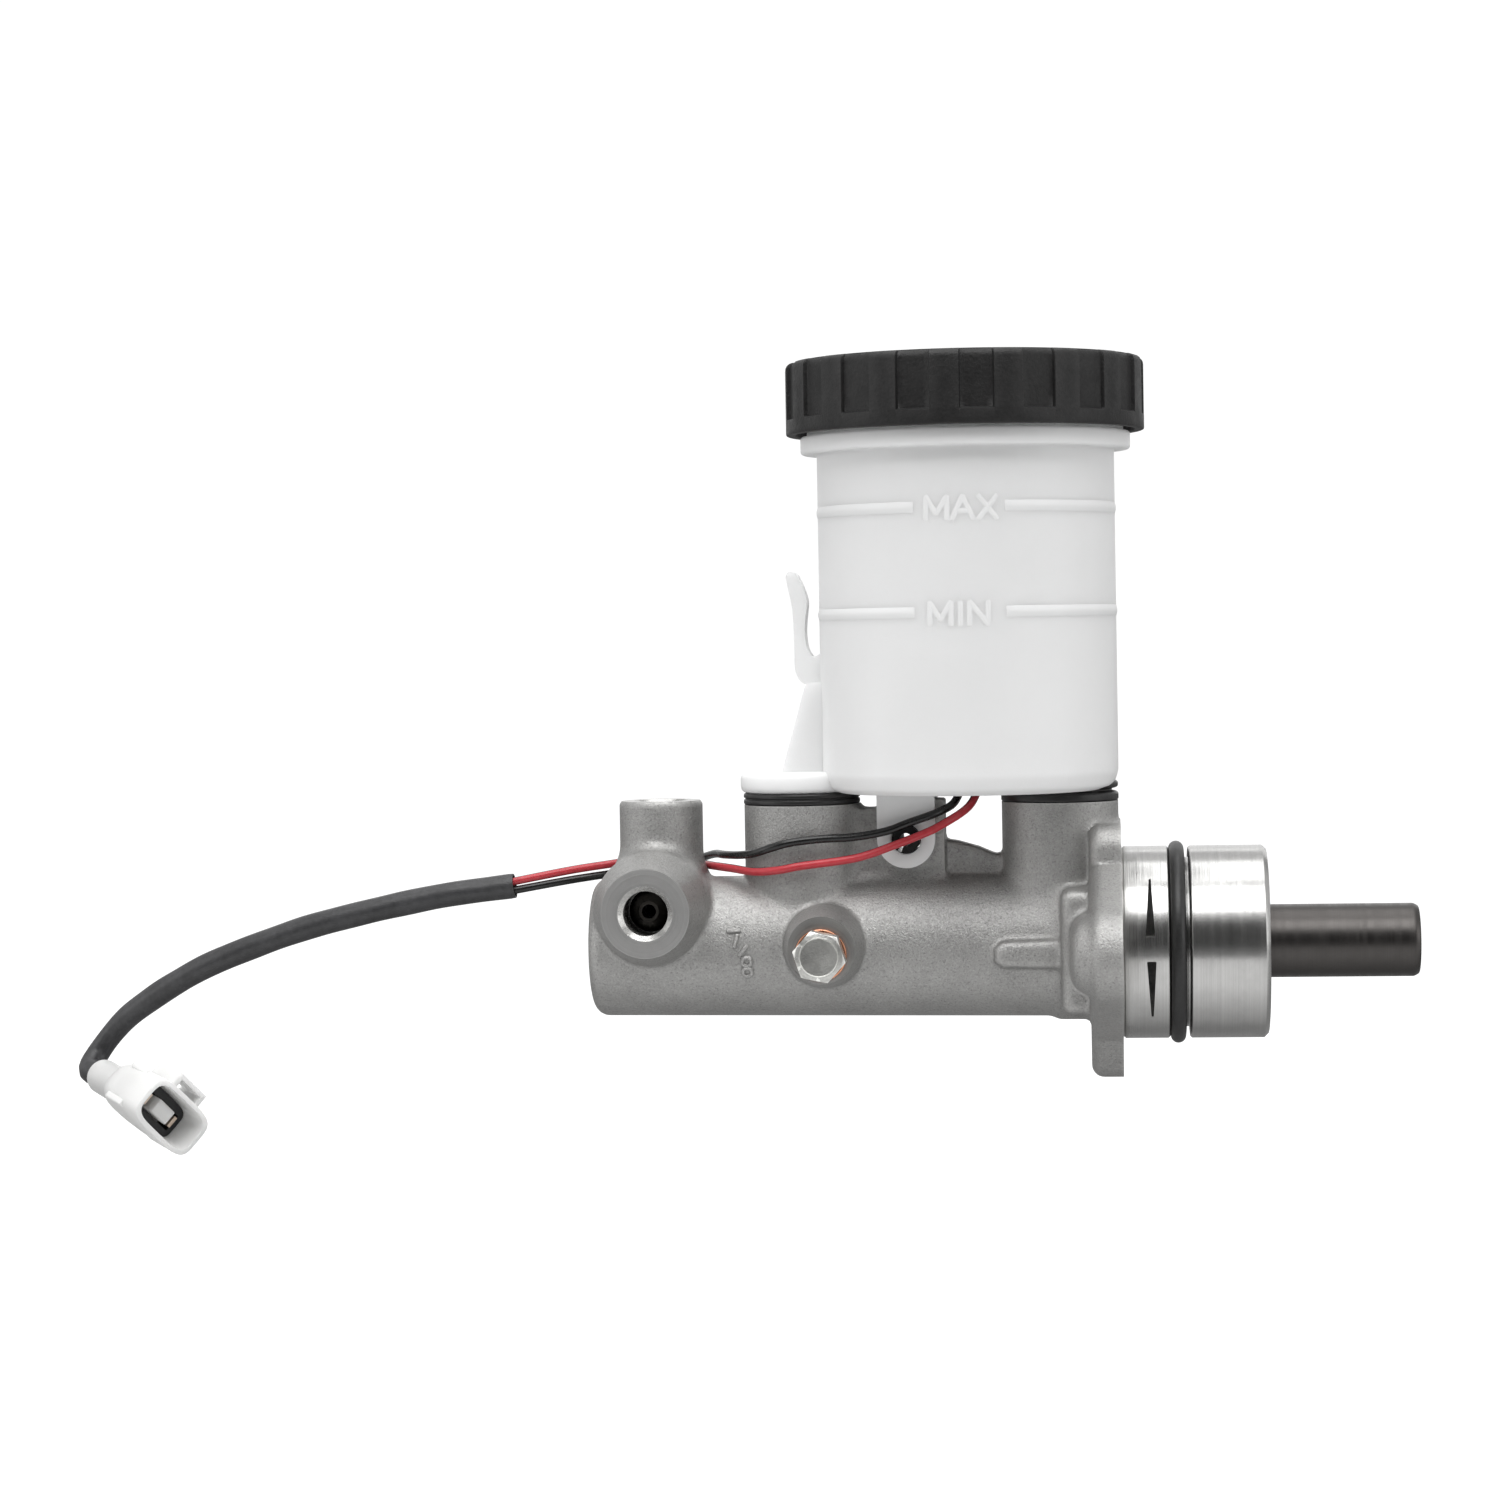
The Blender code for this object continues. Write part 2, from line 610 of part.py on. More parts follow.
def level_switch():
    """Float on its post, its magnet, the stop clip and the sealed switch in the post."""
    section = [
        (5.8, 35.3), (14.0, 35.3), (14.0, 45.3), (10.0, 45.3), (10.0, 41.6), (6.9, 41.6),
        (6.9, 45.3), (5.8, 45.3),
    ]
    float_ring = turned("level_float", section, place(TANK_X, 0, 0), PARTS, 28, ring=True)
    dress(float_ring, material("float_foam", (0.75, 0.68, 0.5), 0, 0.7))
    section = [(7.15, 41.9), (9.75, 41.9), (9.75, 44.9), (7.15, 44.9)]
    magnet = turned("float_magnet", section, place(TANK_X, 0, 0), PARTS, 24, ring=True)
    dress(magnet, material("magnet_ferrite", (0.06, 0.06, 0.06), 0.4, 0.5))
    section = [(5.45, 62.0), (8.4, 62.0), (8.4, 63.2), (5.45, 63.2)]
    clip = turned("float_clip", section, place(TANK_X, 0, 0), PARTS, 24, ring=True)
    dress(clip, material("clip_plastic", (0.7, 0.7, 0.7), 0, 0.4))
    switch = rod("reed_switch", 3.45, 32.9, 60.0, place(TANK_X, 0, 0), PARTS, 24)
    dress(switch, material("switch_epoxy", (0.03, 0.03, 0.032), 0, 0.5))


def cap():
    profile = [
        (0, CAP_TOP_Z), (35.9, CAP_TOP_Z), (37.2, CAP_TOP_Z - 0.5), (CAP_R, CAP_TOP_Z - 1.6),
        (CAP_R, CAP_BOTTOM_Z), (35.6, CAP_BOTTOM_Z), (35.6, 121.9), (0, 121.9),
    ]
    lid = turned("reservoir_cap", profile, place(TANK_X, 0, 0), PARTS, 72)
    slots = []
    for k in range(CAP_PANELS):
        angle = math.radians(CAP_PANEL_PHASE + 360 / CAP_PANELS * k)
        turn = place(TANK_X, 0, 0) @ Matrix.Rotation(angle, 4, "Z")
        low, high = (-3.45, -41, CAP_BOTTOM_Z + 3), (3.45, -36.8, 130)
        slots.append(box(f"cap_panel_{k:02d}", low, high, turn))
    cut(lid, *slots)
    dress(lid, material("black_cap_plastic", (0.012, 0.012, 0.012), 0, 0.45))
    section = [(27.0, 119.3), (34.3, 119.3), (34.3, 121.6), (27.0, 121.6)]
    seal = turned("cap_seal", section, place(TANK_X, 0, 0), PARTS, 36, ring=True)
    dress(seal, material("seal_rubber", (0.02, 0.02, 0.02), 0, 0.6))


# ---------------------------------------------------------------- lead

BLACK_ROUTE = (
    (-34.0, 0.0, 32.2), (-34.3, -1.6, 31.2), (-35.2, -4.6, 29.9), (-36.8, -7.6, 29.0),
    (-39.6, -9.9, 27.9), (-44.5, -10.8, 26.3), (-48.2, -10.9, 24.9), (-52.6, -11.4, 24.0),
    (-57.2, -12.4, 23.5), (-62.4, -13.8, 23.4), (-68.9, -14.2, 22.7), (-73.1, -13.4, 21.6),
    (-76.8, -11.2, 20.4), (-80.4, -7.0, 19.8), (-84.4, 0.0, 19.5), (-86.7, 5.4, 19.4),
    (-89.6, 10.6, 18.5), (-93.6, 13.5, 17.0), (-98.9, 13.9, 15.9), (-104.7, 12.9, 15.4),
    (-109.7, 11.6, 15.0), (-118.7, 8.4, 13.9),
)
RED_ROUTE = (
    (-30.3, 0.0, 32.2), (-30.7, -1.9, 31.0), (-31.8, -4.8, 29.4), (-33.6, -7.4, 28.0),
    (-36.0, -9.4, 26.6), (-39.4, -10.9, 24.8), (-43.7, -11.4, 23.1), (-48.3, -11.5, 21.4),
    (-52.7, -12.3, 19.9), (-57.3, -13.3, 18.9), (-66.8, -14.4, 17.8), (-71.2, -14.0, 17.0),
    (-76.6, -11.6, 16.5), (-81.8, -6.2, 16.9), (-86.6, 0.4, 17.1), (-88.8, 5.4, 17.1),
    (-92.2, 9.6, 17.5), (-97.8, 11.6, 18.3), (-104.7, 11.6, 18.0), (-109.7, 10.8, 17.2),
    (-118.7, 8.6, 16.0),
)
SLEEVE_ROUTE = (
    (-130.8, 6.0, 12.9), (-144.7, 6.0, 11.2), (-155.7, 6.0, 9.2), (-166.6, 6.0, 6.8),
    (-177.5, 6.5, 4.0), (-188.5, 7.0, 0.3), (-199.5, 8.0, -4.0), (-207.9, 9.8, -8.4),
    (-214.1, 12.0, -12.2), (-219.3, 14.0, -15.8), (-223.5, 15.4, -19.9), (-226.7, 15.0, -24.2),
)


def spline_point(points, t):
    """Point on a smooth curve through the route points."""
    last = len(points) - 1
    k = min(int(t), last - 1)
    f = t - k
    a, b = points[max(k - 1, 0)], points[k]
    c, d = points[k + 1], points[min(k + 2, last)]
    return 0.5 * (2 * b + (c - a) * f + (2 * a - 5 * b + 4 * c - d) * f**2 + (3 * b - 3 * c + d - a) * f**3)


def sampled(route, step):
    """Evenly spaced points, about step mm apart, along the curve through the route."""
    points = [Vector(p) for p in route]
    fine = [spline_point(points, k / 24) for k in range(24 * (len(points) - 1) + 1)]
    run = [0.0]
    for a, b in zip(fine, fine[1:]):
        run.append(run[-1] + (b - a).length)
    count = max(2, round(run[-1] / step))
    found = []
    at = 0
    for k in range(count + 1):
        want = run[-1] * k / count
        while at < len(run) - 2 and run[at + 1] < want:
            at += 1
        part = (want - run[at]) / max(run[at + 1] - run[at], 1e-9)
        found.append(fine[at].lerp(fine[at + 1], min(part, 1.0)))
    return found


def carried_normals(points, first):
    """A direction across the curve at each point, turned as little as possible on the way."""
    found = []
    across = Vector(first)
    for k in range(len(points)):
        ahead = (points[min(k + 1, len(points) - 1)] - points[max(k - 1, 0)]).normalized()
        across = (across - ahead * across.dot(ahead)).normalized()
        found.append(across.copy())
    return found


def tube(name, points, radius, look):
    data = bpy.data.curves.new(name, "CURVE")
    data.dimensions = "3D"
    data.bevel_depth = radius * MM
    data.bevel_resolution = 2
    data.render_resolution_u = 0
    data.use_fill_caps = True
    line = data.splines.new("POLY")
    line.points.add(len(points) - 1)
    for spot, point in zip(line.points, points):
        spot.co = (*(point * MM), 1)
    made = bpy.data.objects.new(name, data)
    PARTS.objects.link(made)
    data.materials.append(look)
    return made


def hollow_tube(name, points, outer, inner, look, sides=10):
    """An open sleeve: rings of points outside and inside, joined at both mouths."""
    bm = bmesh.new()
    normals = carried_normals(points, (0, 0, 1))
    rows = []
    for radius in (outer, inner):
        rings = []
        for k, point in enumerate(points):
            ahead = (points[min(k + 1, len(points) - 1)] - points[max(k - 1, 0)]).normalized()
            side = ahead.cross(normals[k])
            ring = []
            for j in range(sides):
                a = 2 * math.pi * (j + 0.5) / sides
                spot = point + radius * (math.cos(a) * normals[k] + math.sin(a) * side)
                ring.append(bm.verts.new(spot * MM))
            rings.append(ring)
        rows.append(rings)
    loops = rows[0] + rows[1][::-1]
    for first, second in zip(loops, loops[1:] + loops[:1]):
        for j in range(sides):
            n = (j + 1) % sides
            bm.faces.new((first[j], first[n], second[n], second[j]))
    made = finish(name, bm, Matrix(), PARTS)
    dress(made, look)
    return made


def connector_frame():
    x = CONNECTOR_FORWARD.normalized()
    z = (CONNECTOR_UP - x * CONNECTOR_UP.dot(x)).normalized()
    y = z.cross(x)
    frame = Matrix((x, y, z)).transposed().to_4x4()
    frame.translation = CONNECTOR_AT * MM
    return frame


def in_connector(x, y, z):
    return (connector_frame() @ (Vector((x, y, z)) * MM)) / MM


def lead():
    """Two wires, side by side inside the sleeve, then fanned out to the two terminals."""
    frame = connector_frame()
    entry = tuple(tuple(in_connector(x, 0, 0)) for x in (-15.5, -11.5, -8.4))
    centre = sampled(SLEEVE_ROUTE + entry, 4.2)
    normals = carried_normals(centre, (0, 0, 1))
    ends = (
        ("wire_red", RED_ROUTE, 1, material("red_pvc", (0.42, 0.012, 0.02), 0, 0.35)),
        ("wire_black", BLACK_ROUTE, -1, material("black_pvc", (0.01, 0.01, 0.01), 0, 0.35)),
    )
    across = frame.to_3x3() @ Vector((0, 1, 0))
    side = 1 if normals[-1].dot(across) > 0 else -1
    for name, route, way, look in ends:
        inside = [p + n * WIRE_OFFSET * way for p, n in zip(centre, normals)]
        outside = sampled(route + (tuple(inside[0]),), 3.6)
        y = way * side
        fan = [inside[-1], in_connector(-4.5, 1.05 * y, 0), in_connector(-0.6, 1.3 * y, 0)]
        fan += [in_connector(1.7, 1.95 * y, 0), in_connector(3.6, 3.7 * y, 0), in_connector(5.6, 4.4 * y, 0)]
        fan = sampled([tuple(p) for p in fan], 1.9)
        tube(name, outside[:-1] + inside[:-1] + fan, WIRE_R, look)
    vinyl = material("sleeve_vinyl", (0.02, 0.02, 0.022), 0, 0.4)
    hollow_tube("cable_sleeve", centre, SLEEVE_R, SLEEVE_INNER_R, vinyl)


def housing():
    frame = connector_frame()
    shell = box("connector_housing", (0, -9.2, -5.5), (21, 9.2, 5.5), frame, PARTS, 1.6)
    forward = frame @ Matrix.Rotation(math.radians(90), 4, "Y")
    add(
        shell,
        rod("rear_barrel", 3.8, -11.0, 2.0, forward, steps=24),
        box("latch_front", (16.6, -4.6, 5.0), (19.4, 4.6, 8.6), frame),
        box("latch_left", (9.8, -4.5, 5.0), (18, -3.0, 8.2), frame),
        box("latch_right", (9.8, 3.0, 5.0), (18, 4.5, 8.2), frame),
    )
    slots = []
    for side in (-1, 1):
        low, high = (5, side * 4.4 - 0.75, -1.7), (10, side * 4.4 + 0.75, 1.7)
        slots.append(box("terminal_slot_" + ("left" if side < 0 else "right"), low, high, frame))
    cut(
        shell,
        box("rear_hollow", (1.6, -7.7, -4.0), (6.4, 7.7, 4.0), frame),
        box("socket_hollow", (8.4, -7.8, -4.2), (30, 7.8, 4.2), frame),
        rod("barrel_bore", 3.1, -14.0, 3.0, forward, steps=24),
        *slots,
    )
    add(shell, box("tongue", (7.4, -2.6, -1.7), (17.0, 2.6, 1.7), frame))
    dress(shell, material("connector_nylon", (0.8, 0.8, 0.79), 0, 0.4))


def insert_and_terminals():
    frame = connector_frame()
    insert = box("connector_insert", (8.7, -7.5, -3.9), (11.0, 7.5, 3.9), frame, PARTS)
    cut(insert, box("insert_window", (8, -6.0, -2.0), (12, 6.0, 2.0), frame))
    dress(insert, material("insert_plastic", (0.015, 0.015, 0.016), 0, 0.45))
    tin = material("terminal_tin", (0.55, 0.45, 0.36), 1.0, 0.35)
    for side in (-1, 1):
        name = "terminal_left" if side < 0 else "terminal_right"
        y = side * 4.4
        blade = box(name, (6.2, y - 0.4, -1.3), (15.6, y + 0.4, 1.3), frame, PARTS)
        dress(blade, tin)


def build():
    cylinder_body()
    o_ring()
    stop_bolt()
    tube_seats()
    mouth_rings()
    primary_piston()
    secondary_piston()
    cups_and_washers()
    spring_cage()
    springs()
    reservoir()
    grommets()
    spring_pin()
    level_switch()
    cap()
    lead()
    housing()
    insert_and_terminals()


build()
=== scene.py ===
"""Looks of the brake master cylinder: camera, lead, finer shapes, materials and studio."""

import math

import bmesh
import bpy
import numpy as np
from mathutils import Matrix, Vector


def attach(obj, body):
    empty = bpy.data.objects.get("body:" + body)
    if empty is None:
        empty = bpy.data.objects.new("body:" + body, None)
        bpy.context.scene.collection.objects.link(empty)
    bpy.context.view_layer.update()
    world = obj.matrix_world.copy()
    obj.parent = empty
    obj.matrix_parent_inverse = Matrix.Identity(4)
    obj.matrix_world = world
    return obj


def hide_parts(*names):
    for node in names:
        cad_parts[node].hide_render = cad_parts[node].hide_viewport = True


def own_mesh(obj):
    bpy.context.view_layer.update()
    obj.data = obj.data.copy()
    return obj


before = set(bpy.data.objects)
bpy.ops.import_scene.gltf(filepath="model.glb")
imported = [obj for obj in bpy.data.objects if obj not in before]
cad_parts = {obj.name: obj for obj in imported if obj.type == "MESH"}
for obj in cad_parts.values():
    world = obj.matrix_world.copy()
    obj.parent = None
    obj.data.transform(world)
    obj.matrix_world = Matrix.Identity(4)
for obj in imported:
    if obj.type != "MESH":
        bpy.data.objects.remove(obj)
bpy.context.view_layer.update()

MM = 0.001
SCENE = bpy.context.scene
ALONG_X = Vector((1, 0, 0))
ALONG_NEAR = Vector((0, -1, 0))
ALONG_FAR = Vector((0, 1, 0))
ALONG_Z = Vector((0, 0, 1))

# Places on the object, in millimetres: X along the bore towards the push rod, Z up, near side -Y.
FRONT_X = -113
SPIGOT_R = 20.3
SPIGOT_END_X = 30.4
EAR_Y = 31
TOWER_R = 12.3
TOWER_TOP_Z = 30.2
FRONT_INLET_X = -67.5
REAR_INLET_X = -12.7
OUTLET_X = -97.8
OUTLET_TOP_Z = 31.3
NEAR_PORT_X = -98.65
NEAR_PORT_Z = 8.8
FAR_PORT_X = -40.9
PORT_R = 4.9
PORT_FACE = 24.2
BOLT_X = -62.1
BOLT_BOSS_Z = 0.9
BOLT_FACE = 24.3
LUG_X = -45
LUG_Z = 22.8
TANK_X = -31.65
TANK_R = 31.4
CAP_R = 37.8
CAP_BOTTOM_Z = 108.2
CAP_TOP_Z = 123.5
CAP_PANELS = 18
CAP_PANEL_PHASE = 5.95
WIRE_R = 0.87
WIRE_OFFSET = 0.95
SLEEVE_R = 2.8
SLEEVE_INNER_R = 2.25
CONNECTOR_AT = Vector((-216.8, 0.6, -30.25))
CONNECTOR_FORWARD = Vector((0.685, -0.698, -0.207))
CONNECTOR_UP = Vector((0.589, 0.363, 0.722))

BARREL_R = 15.45  # at the barrel's rear end, before the cast slope towards the closed end
BARREL_SLOPE = 0.0078
BARREL_REAR_X = -14
BORE_R = 11.1
NECK_R = 33.4
TANK_INNER_R = 29.4
CAP_INNER_R = 35.7
NECK_THREADS = 3
NECK_PITCH = 2.8
PORT_PITCH = 1
GROMMET_HOLE_R = 9.2
PIN_HOLE_R = 3.15
SPRING_R = 7.2
SPRING_WIRE_R = 1.1
LETTER_HEIGHT = 4.8
FLOOR_Z = -0.105  # metres

# ---- camera, in metres

EYE = Vector((-0.004, -0.766, 0.0666))
AIM = Vector((-0.07846, 0, 0.0418))
LENS = 86.55
ROLL = 1


def linked(name, data):
    """A new object of the data, in the scene."""
    made = bpy.data.objects.new(name, data)
    SCENE.collection.objects.link(made)
    return made


def camera():
    data = bpy.data.cameras.new("camera")
    data.sensor_width = 36
    data.lens = LENS
    data.clip_start = 0.01
    data.clip_end = 50
    made = linked("camera", data)
    turn = (AIM - EYE).to_track_quat("-Z", "Y").to_matrix().to_4x4()
    made.matrix_world = Matrix.Translation(EYE) @ turn @ Matrix.Rotation(math.radians(-ROLL), 4, "Z")
    SCENE.camera = made


# ---- material tools


def link_or_set(tree, socket, value):
    if isinstance(value, bpy.types.NodeSocket):
        tree.links.new(value, socket)
    elif socket.type == "RGBA" and len(value) == 3:
        socket.default_value = (*value, 1)
    else:
        socket.default_value = value


def node(tree, kind, inputs=None, **settings):
    """A shader node with its settings and inputs; an input may be another node's socket."""
    made = tree.nodes.new("ShaderNode" + kind)
    for key, value in settings.items():
        setattr(made, key, value)
    for key, value in (inputs or {}).items():
        link_or_set(tree, made.inputs[key], value)
    return made


def grey(level):
    return (level, level, level)


def maths(tree, way, *values):
    return node(tree, "Math", dict(enumerate(values)), operation=way).outputs[0]


def new_material(name):
    made = bpy.data.materials.new(name)
    made.use_nodes = True
    return made, made.node_tree, made.node_tree.nodes["Principled BSDF"]


def noise(tree, where, scale, detail=2, rough=0.5):
    inputs = {"Vector": where, "Scale": scale, "Detail": detail, "Roughness": rough}
    return node(tree, "TexNoise", inputs).outputs["Fac"]


def spread(tree, value, low, high, first=0.3, last=0.7):
    """Maps a noise value from first..last to low..high."""
    inputs = {"Value": value, "From Min": first, "From Max": last, "To Min": low, "To Max": high}
    return node(tree, "MapRange", inputs).outputs["Result"]


def blended(tree, share, first, second):
    """Colour mixed from first to second; the Mix node's colour sockets are 6 and 7."""
    return node(tree, "Mix", {0: share, 6: first, 7: second}, data_type="RGBA").outputs[2]


def bumped(tree, height, depth, below=None, strength=1):
    inputs = {"Height": height, "Distance": depth, "Strength": strength}
    if below is not None:
        inputs["Normal"] = below
    return node(tree, "Bump", inputs).outputs["Normal"]


def plug(tree, shader, **sockets):
    """Sets or links Principled inputs; underscores in a name stand for spaces."""
    for key, value in sockets.items():
        link_or_set(tree, shader.inputs[key.replace("_", " ")], value)


def place_on(tree):
    return node(tree, "TexCoord").outputs["Object"]


def worn_edges(tree, colour, bright, share, first):
    """The colour, brighter where the surface is sharply convex."""
    edge = node(tree, "NewGeometry").outputs["Pointiness"]
    return blended(tree, spread(tree, edge, 0, share, first, 0.56), colour, bright)


def grained(name, dark, light, metallic, rough, grain, depth, wear=0, **extra):
    """A surface with mottled colour, uneven roughness and fine relief; rough is (low, high)."""
    made, tree, shader = new_material(name + "_look")
    where = place_on(tree)
    cloud = spread(tree, noise(tree, where, 120, 4), 0, 1)
    speck = spread(tree, noise(tree, where, grain * 0.7), 0, 1)
    colour = blended(tree, maths(tree, "MULTIPLY", maths(tree, "ADD", cloud, speck), 0.5), dark, light)
    if wear:
        colour = worn_edges(tree, colour, tuple(min(1, c * 1.5 + 0.06) for c in light), wear, 0.51)
    relief = bumped(tree, noise(tree, where, grain, 3, 0.6), depth)
    gloss = spread(tree, noise(tree, where, 276, 3), *rough)
    plug(tree, shader, Base_Color=colour, Metallic=metallic, Roughness=gloss, Normal=relief, **extra)
    return made


def cast_metal():
    """Sand-cast aluminium: granular skin, grey cloudiness, brighter worn edges."""
    made, tree, shader = new_material("cast_look")
    where = place_on(tree)
    cloud = spread(tree, noise(tree, where, 75, 5, 0.6), 0, 1)
    colour = blended(tree, cloud, (0.32, 0.317, 0.311), (0.39, 0.387, 0.379))
    speck = spread(tree, noise(tree, where, 2500, 2, 0.7), 0, 0.5, 0.45, 0.75)
    colour = blended(tree, speck, colour, (0.56, 0.557, 0.545))
    pit = spread(tree, noise(tree, where, 2100, 2, 0.6), 0.5, 0, 0.28, 0.46)
    colour = blended(tree, pit, colour, (0.13, 0.128, 0.125))
    colour = worn_edges(tree, colour, (0.5, 0.495, 0.485), 0.5, 0.515)
    sand = bumped(tree, noise(tree, where, 2300, 3, 0.65), 0.00019, strength=0.9)
    lumps = bumped(tree, noise(tree, where, 420, 3), 0.0002, below=sand, strength=0.5)
    gloss = spread(tree, noise(tree, where, 900, 3), 0.42, 0.57)
    plug(tree, shader, Base_Color=colour, Metallic=0.85, Roughness=gloss, Normal=lumps)
    return made


def turned_metal(name, axis, centre, tint, rough, depth=0.00004):
    """Lathe-cut metal: rings at constant distance along and from an axis through centre."""
    made, tree, shader = new_material(name + "_look")
    where = place_on(tree)
    split = node(tree, "SeparateXYZ", {0: where})
    squares = []
    for k in range(3):
        if k != axis:
            off = maths(tree, "SUBTRACT", split.outputs[k], centre[k] * MM)
            squares.append(maths(tree, "POWER", off, 2))
    radius = maths(tree, "SQRT", maths(tree, "ADD", *squares))
    fine = node(tree, "CombineXYZ", {0: split.outputs[axis], 1: radius}).outputs[0]
    marks = noise(tree, fine, 5200, 3, 0.7)
    broad = noise(tree, fine, 700, 3, 0.6)
    patch = spread(tree, noise(tree, where, 260, 4, 0.6), 0, 0.35, 0.45, 0.7)
    colour = blended(tree, spread(tree, marks, 0, 1, 0.32, 0.68), tuple(c * 0.86 for c in tint), tint)
    colour = blended(tree, patch, colour, tuple(c * 0.75 for c in tint))
    relief = bumped(tree, broad, depth * 1.5, below=bumped(tree, marks, depth))
    gloss = spread(tree, broad, *rough)
    plug(tree, shader, Base_Color=colour, Metallic=1, Roughness=gloss, Normal=relief)
    return made


def milky_plastic(name, tint, shade, depth=0.55):
    """Translucent polypropylene: soft light inside, faint flow clouds, slightly waxy skin."""
    made, tree, shader = new_material(name + "_look")
    where = place_on(tree)
    cloud = spread(tree, noise(tree, where, 38, 4), 0, 1, 0.25, 0.75)
    skin = bumped(tree, noise(tree, where, 260, 3), 0.00012, strength=0.5)
    skin = bumped(tree, noise(tree, where, 3200), 0.00003, below=skin, strength=0.5)
    gloss = spread(tree, noise(tree, where, 500, 3), 0.36, 0.5)
    plug(tree, shader, Base_Color=blended(tree, cloud, shade, tint), Roughness=gloss, Normal=skin)
    plug(tree, shader, Subsurface_Weight=depth, Subsurface_Radius=(1, 1, 1), Subsurface_Scale=0.006)
    plug(tree, shader, Specular_IOR_Level=0.4)
    return made


# ---- mesh tools, in millimetres


def place(x, y, z, direction=ALONG_Z):
    """Frame at a place with its local Z along the direction."""
    turn = direction.to_track_quat("Z", "Y").to_matrix().to_4x4()
    return Matrix.Translation(Vector((x, y, z)) * MM) @ turn


def yz_plane():
    """Local x is +Y, local y is +Z and local z is +X."""
    return Matrix(((0, 0, 1, 0), (1, 0, 0, 0), (0, 1, 0, 0), (0, 0, 0, 1)))


def xz_plane():
    """Local x is +X, local y is +Z and local z is -Y."""
    return Matrix(((1, 0, 0, 0), (0, 0, -1, 0), (0, 1, 0, 0), (0, 0, 0, 1)))


def from_bmesh(name, bm, matrix=None):
    bmesh.ops.remove_doubles(bm, verts=bm.verts, dist=1e-6)
    bmesh.ops.recalc_face_normals(bm, faces=bm.faces)
    mesh = bpy.data.meshes.new(name)
    bm.to_mesh(mesh)
    bm.free()
    mesh.transform(matrix or Matrix())
    return linked(name, mesh)


def bridge(bm, loops):
    """Faces between each closed loop of vertices and the next."""
    for first, second in zip(loops, loops[1:]):
        for j in range(len(first)):
            n = (j + 1) % len(first)
            bm.faces.new((first[j], first[n], second[n], second[j]))


def softened(points, radius, closed=False, steps=4):
    """The outline with each corner rounded off by at most radius."""
    found = []
    count = len(points)
    for k, point in enumerate(points):
        if not closed and k in (0, count - 1):
            found.append(tuple(point))
            continue
        p, a, b = Vector(point), Vector(points[k - 1]), Vector(points[(k + 1) % count])
        reach = min(radius, (a - p).length * 0.45, (b - p).length * 0.45)
        first = p + (a - p).normalized() * reach
        last = p + (b - p).normalized() * reach
        for j in range(steps + 1):
            t = j / steps
            found.append(tuple(first * (1 - t) ** 2 + p * 2 * t * (1 - t) + last * t**2))
    return found


def lathe(name, profile, matrix, steps=96, closed=False):
    """A body of revolution: profile is (radius, height) pairs about the local Z axis."""
    bm = bmesh.new()
    verts = [bm.verts.new((r * MM, 0, h * MM)) for r, h in profile]
    edges = [bm.edges.new(pair) for pair in zip(verts, verts[1:])]
    if closed:
        edges.append(bm.edges.new((verts[-1], verts[0])))
    turn = {"cent": (0, 0, 0), "axis": (0, 0, 1), "angle": 2 * math.pi, "steps": steps}
    bmesh.ops.spin(bm, geom=verts + edges, **turn)
    return from_bmesh(name, bm, matrix)


def rod(name, radius, low, high, matrix, steps=64):
    return lathe(name, [(0, low), (radius, low), (radius, high), (0, high)], matrix, steps)


def prism(name, outline, low, high, matrix):
    """An extrusion: outline is (u, v) pairs in the local XY plane."""
    bm = bmesh.new()
    verts = [bm.verts.new((u * MM, v * MM, low * MM)) for u, v in outline]
    made = bmesh.ops.extrude_face_region(bm, geom=[bm.faces.new(verts)])
    moved = [v for v in made["geom"] if isinstance(v, bmesh.types.BMVert)]
    bmesh.ops.translate(bm, verts=moved, vec=(0, 0, (high - low) * MM))
    return from_bmesh(name, bm, matrix)


def side_prism(name, outline, low, high):
    """An extrusion towards the viewer: outline is (X, Z) pairs, low and high are -Y."""
    return prism(name, outline, low, high, xz_plane())


def box(name, corner, opposite, matrix=None, edge=0):
    pairs = [sorted(pair) for pair in zip(corner, opposite)]
    bm = bmesh.new()
    bmesh.ops.create_cube(bm, size=1)
    bmesh.ops.scale(bm, vec=[(b - a) * MM for a, b in pairs], verts=bm.verts)
    bmesh.ops.translate(bm, vec=[(a + b) / 2 * MM for a, b in pairs], verts=bm.verts)
    if edge:
        rounding = {"offset": edge * MM, "segments": 3, "profile": 0.5, "affect": "EDGES"}
        bmesh.ops.bevel(bm, geom=bm.edges[:], **rounding)
    return from_bmesh(name, bm, matrix)


def arc(cx, cy, radius, first, last, count):
    """Points on an arc, angles in degrees."""
    angles = [math.radians(first + (last - first) * k / count) for k in range(count + 1)]
    return [(cx + radius * math.cos(a), cy + radius * math.sin(a)) for a in angles]


def paint(piece, look):
    piece.data.materials.clear()
    piece.data.materials.append(look)
    return piece


def cut(*tools):
    return [("DIFFERENCE", tool) for tool in tools]


def join(*tools):
    return [("UNION", tool) for tool in tools]


def carve(target, steps):
    """Applies (operation, tool) Booleans in order and removes the tools."""
    for way, tool in steps:
        step = target.modifiers.new(tool.name, "BOOLEAN")
        step.operation = way
        step.solver = "MANIFOLD"
        step.object = tool
        step.material_mode = "TRANSFER"
    bpy.context.view_layer.update()
    seen = bpy.context.evaluated_depsgraph_get()
    mesh = bpy.data.meshes.new_from_object(target.evaluated_get(seen))
    target.modifiers.clear()
    target.data = mesh
    for _, tool in steps:
        bpy.data.objects.remove(tool)
    return target


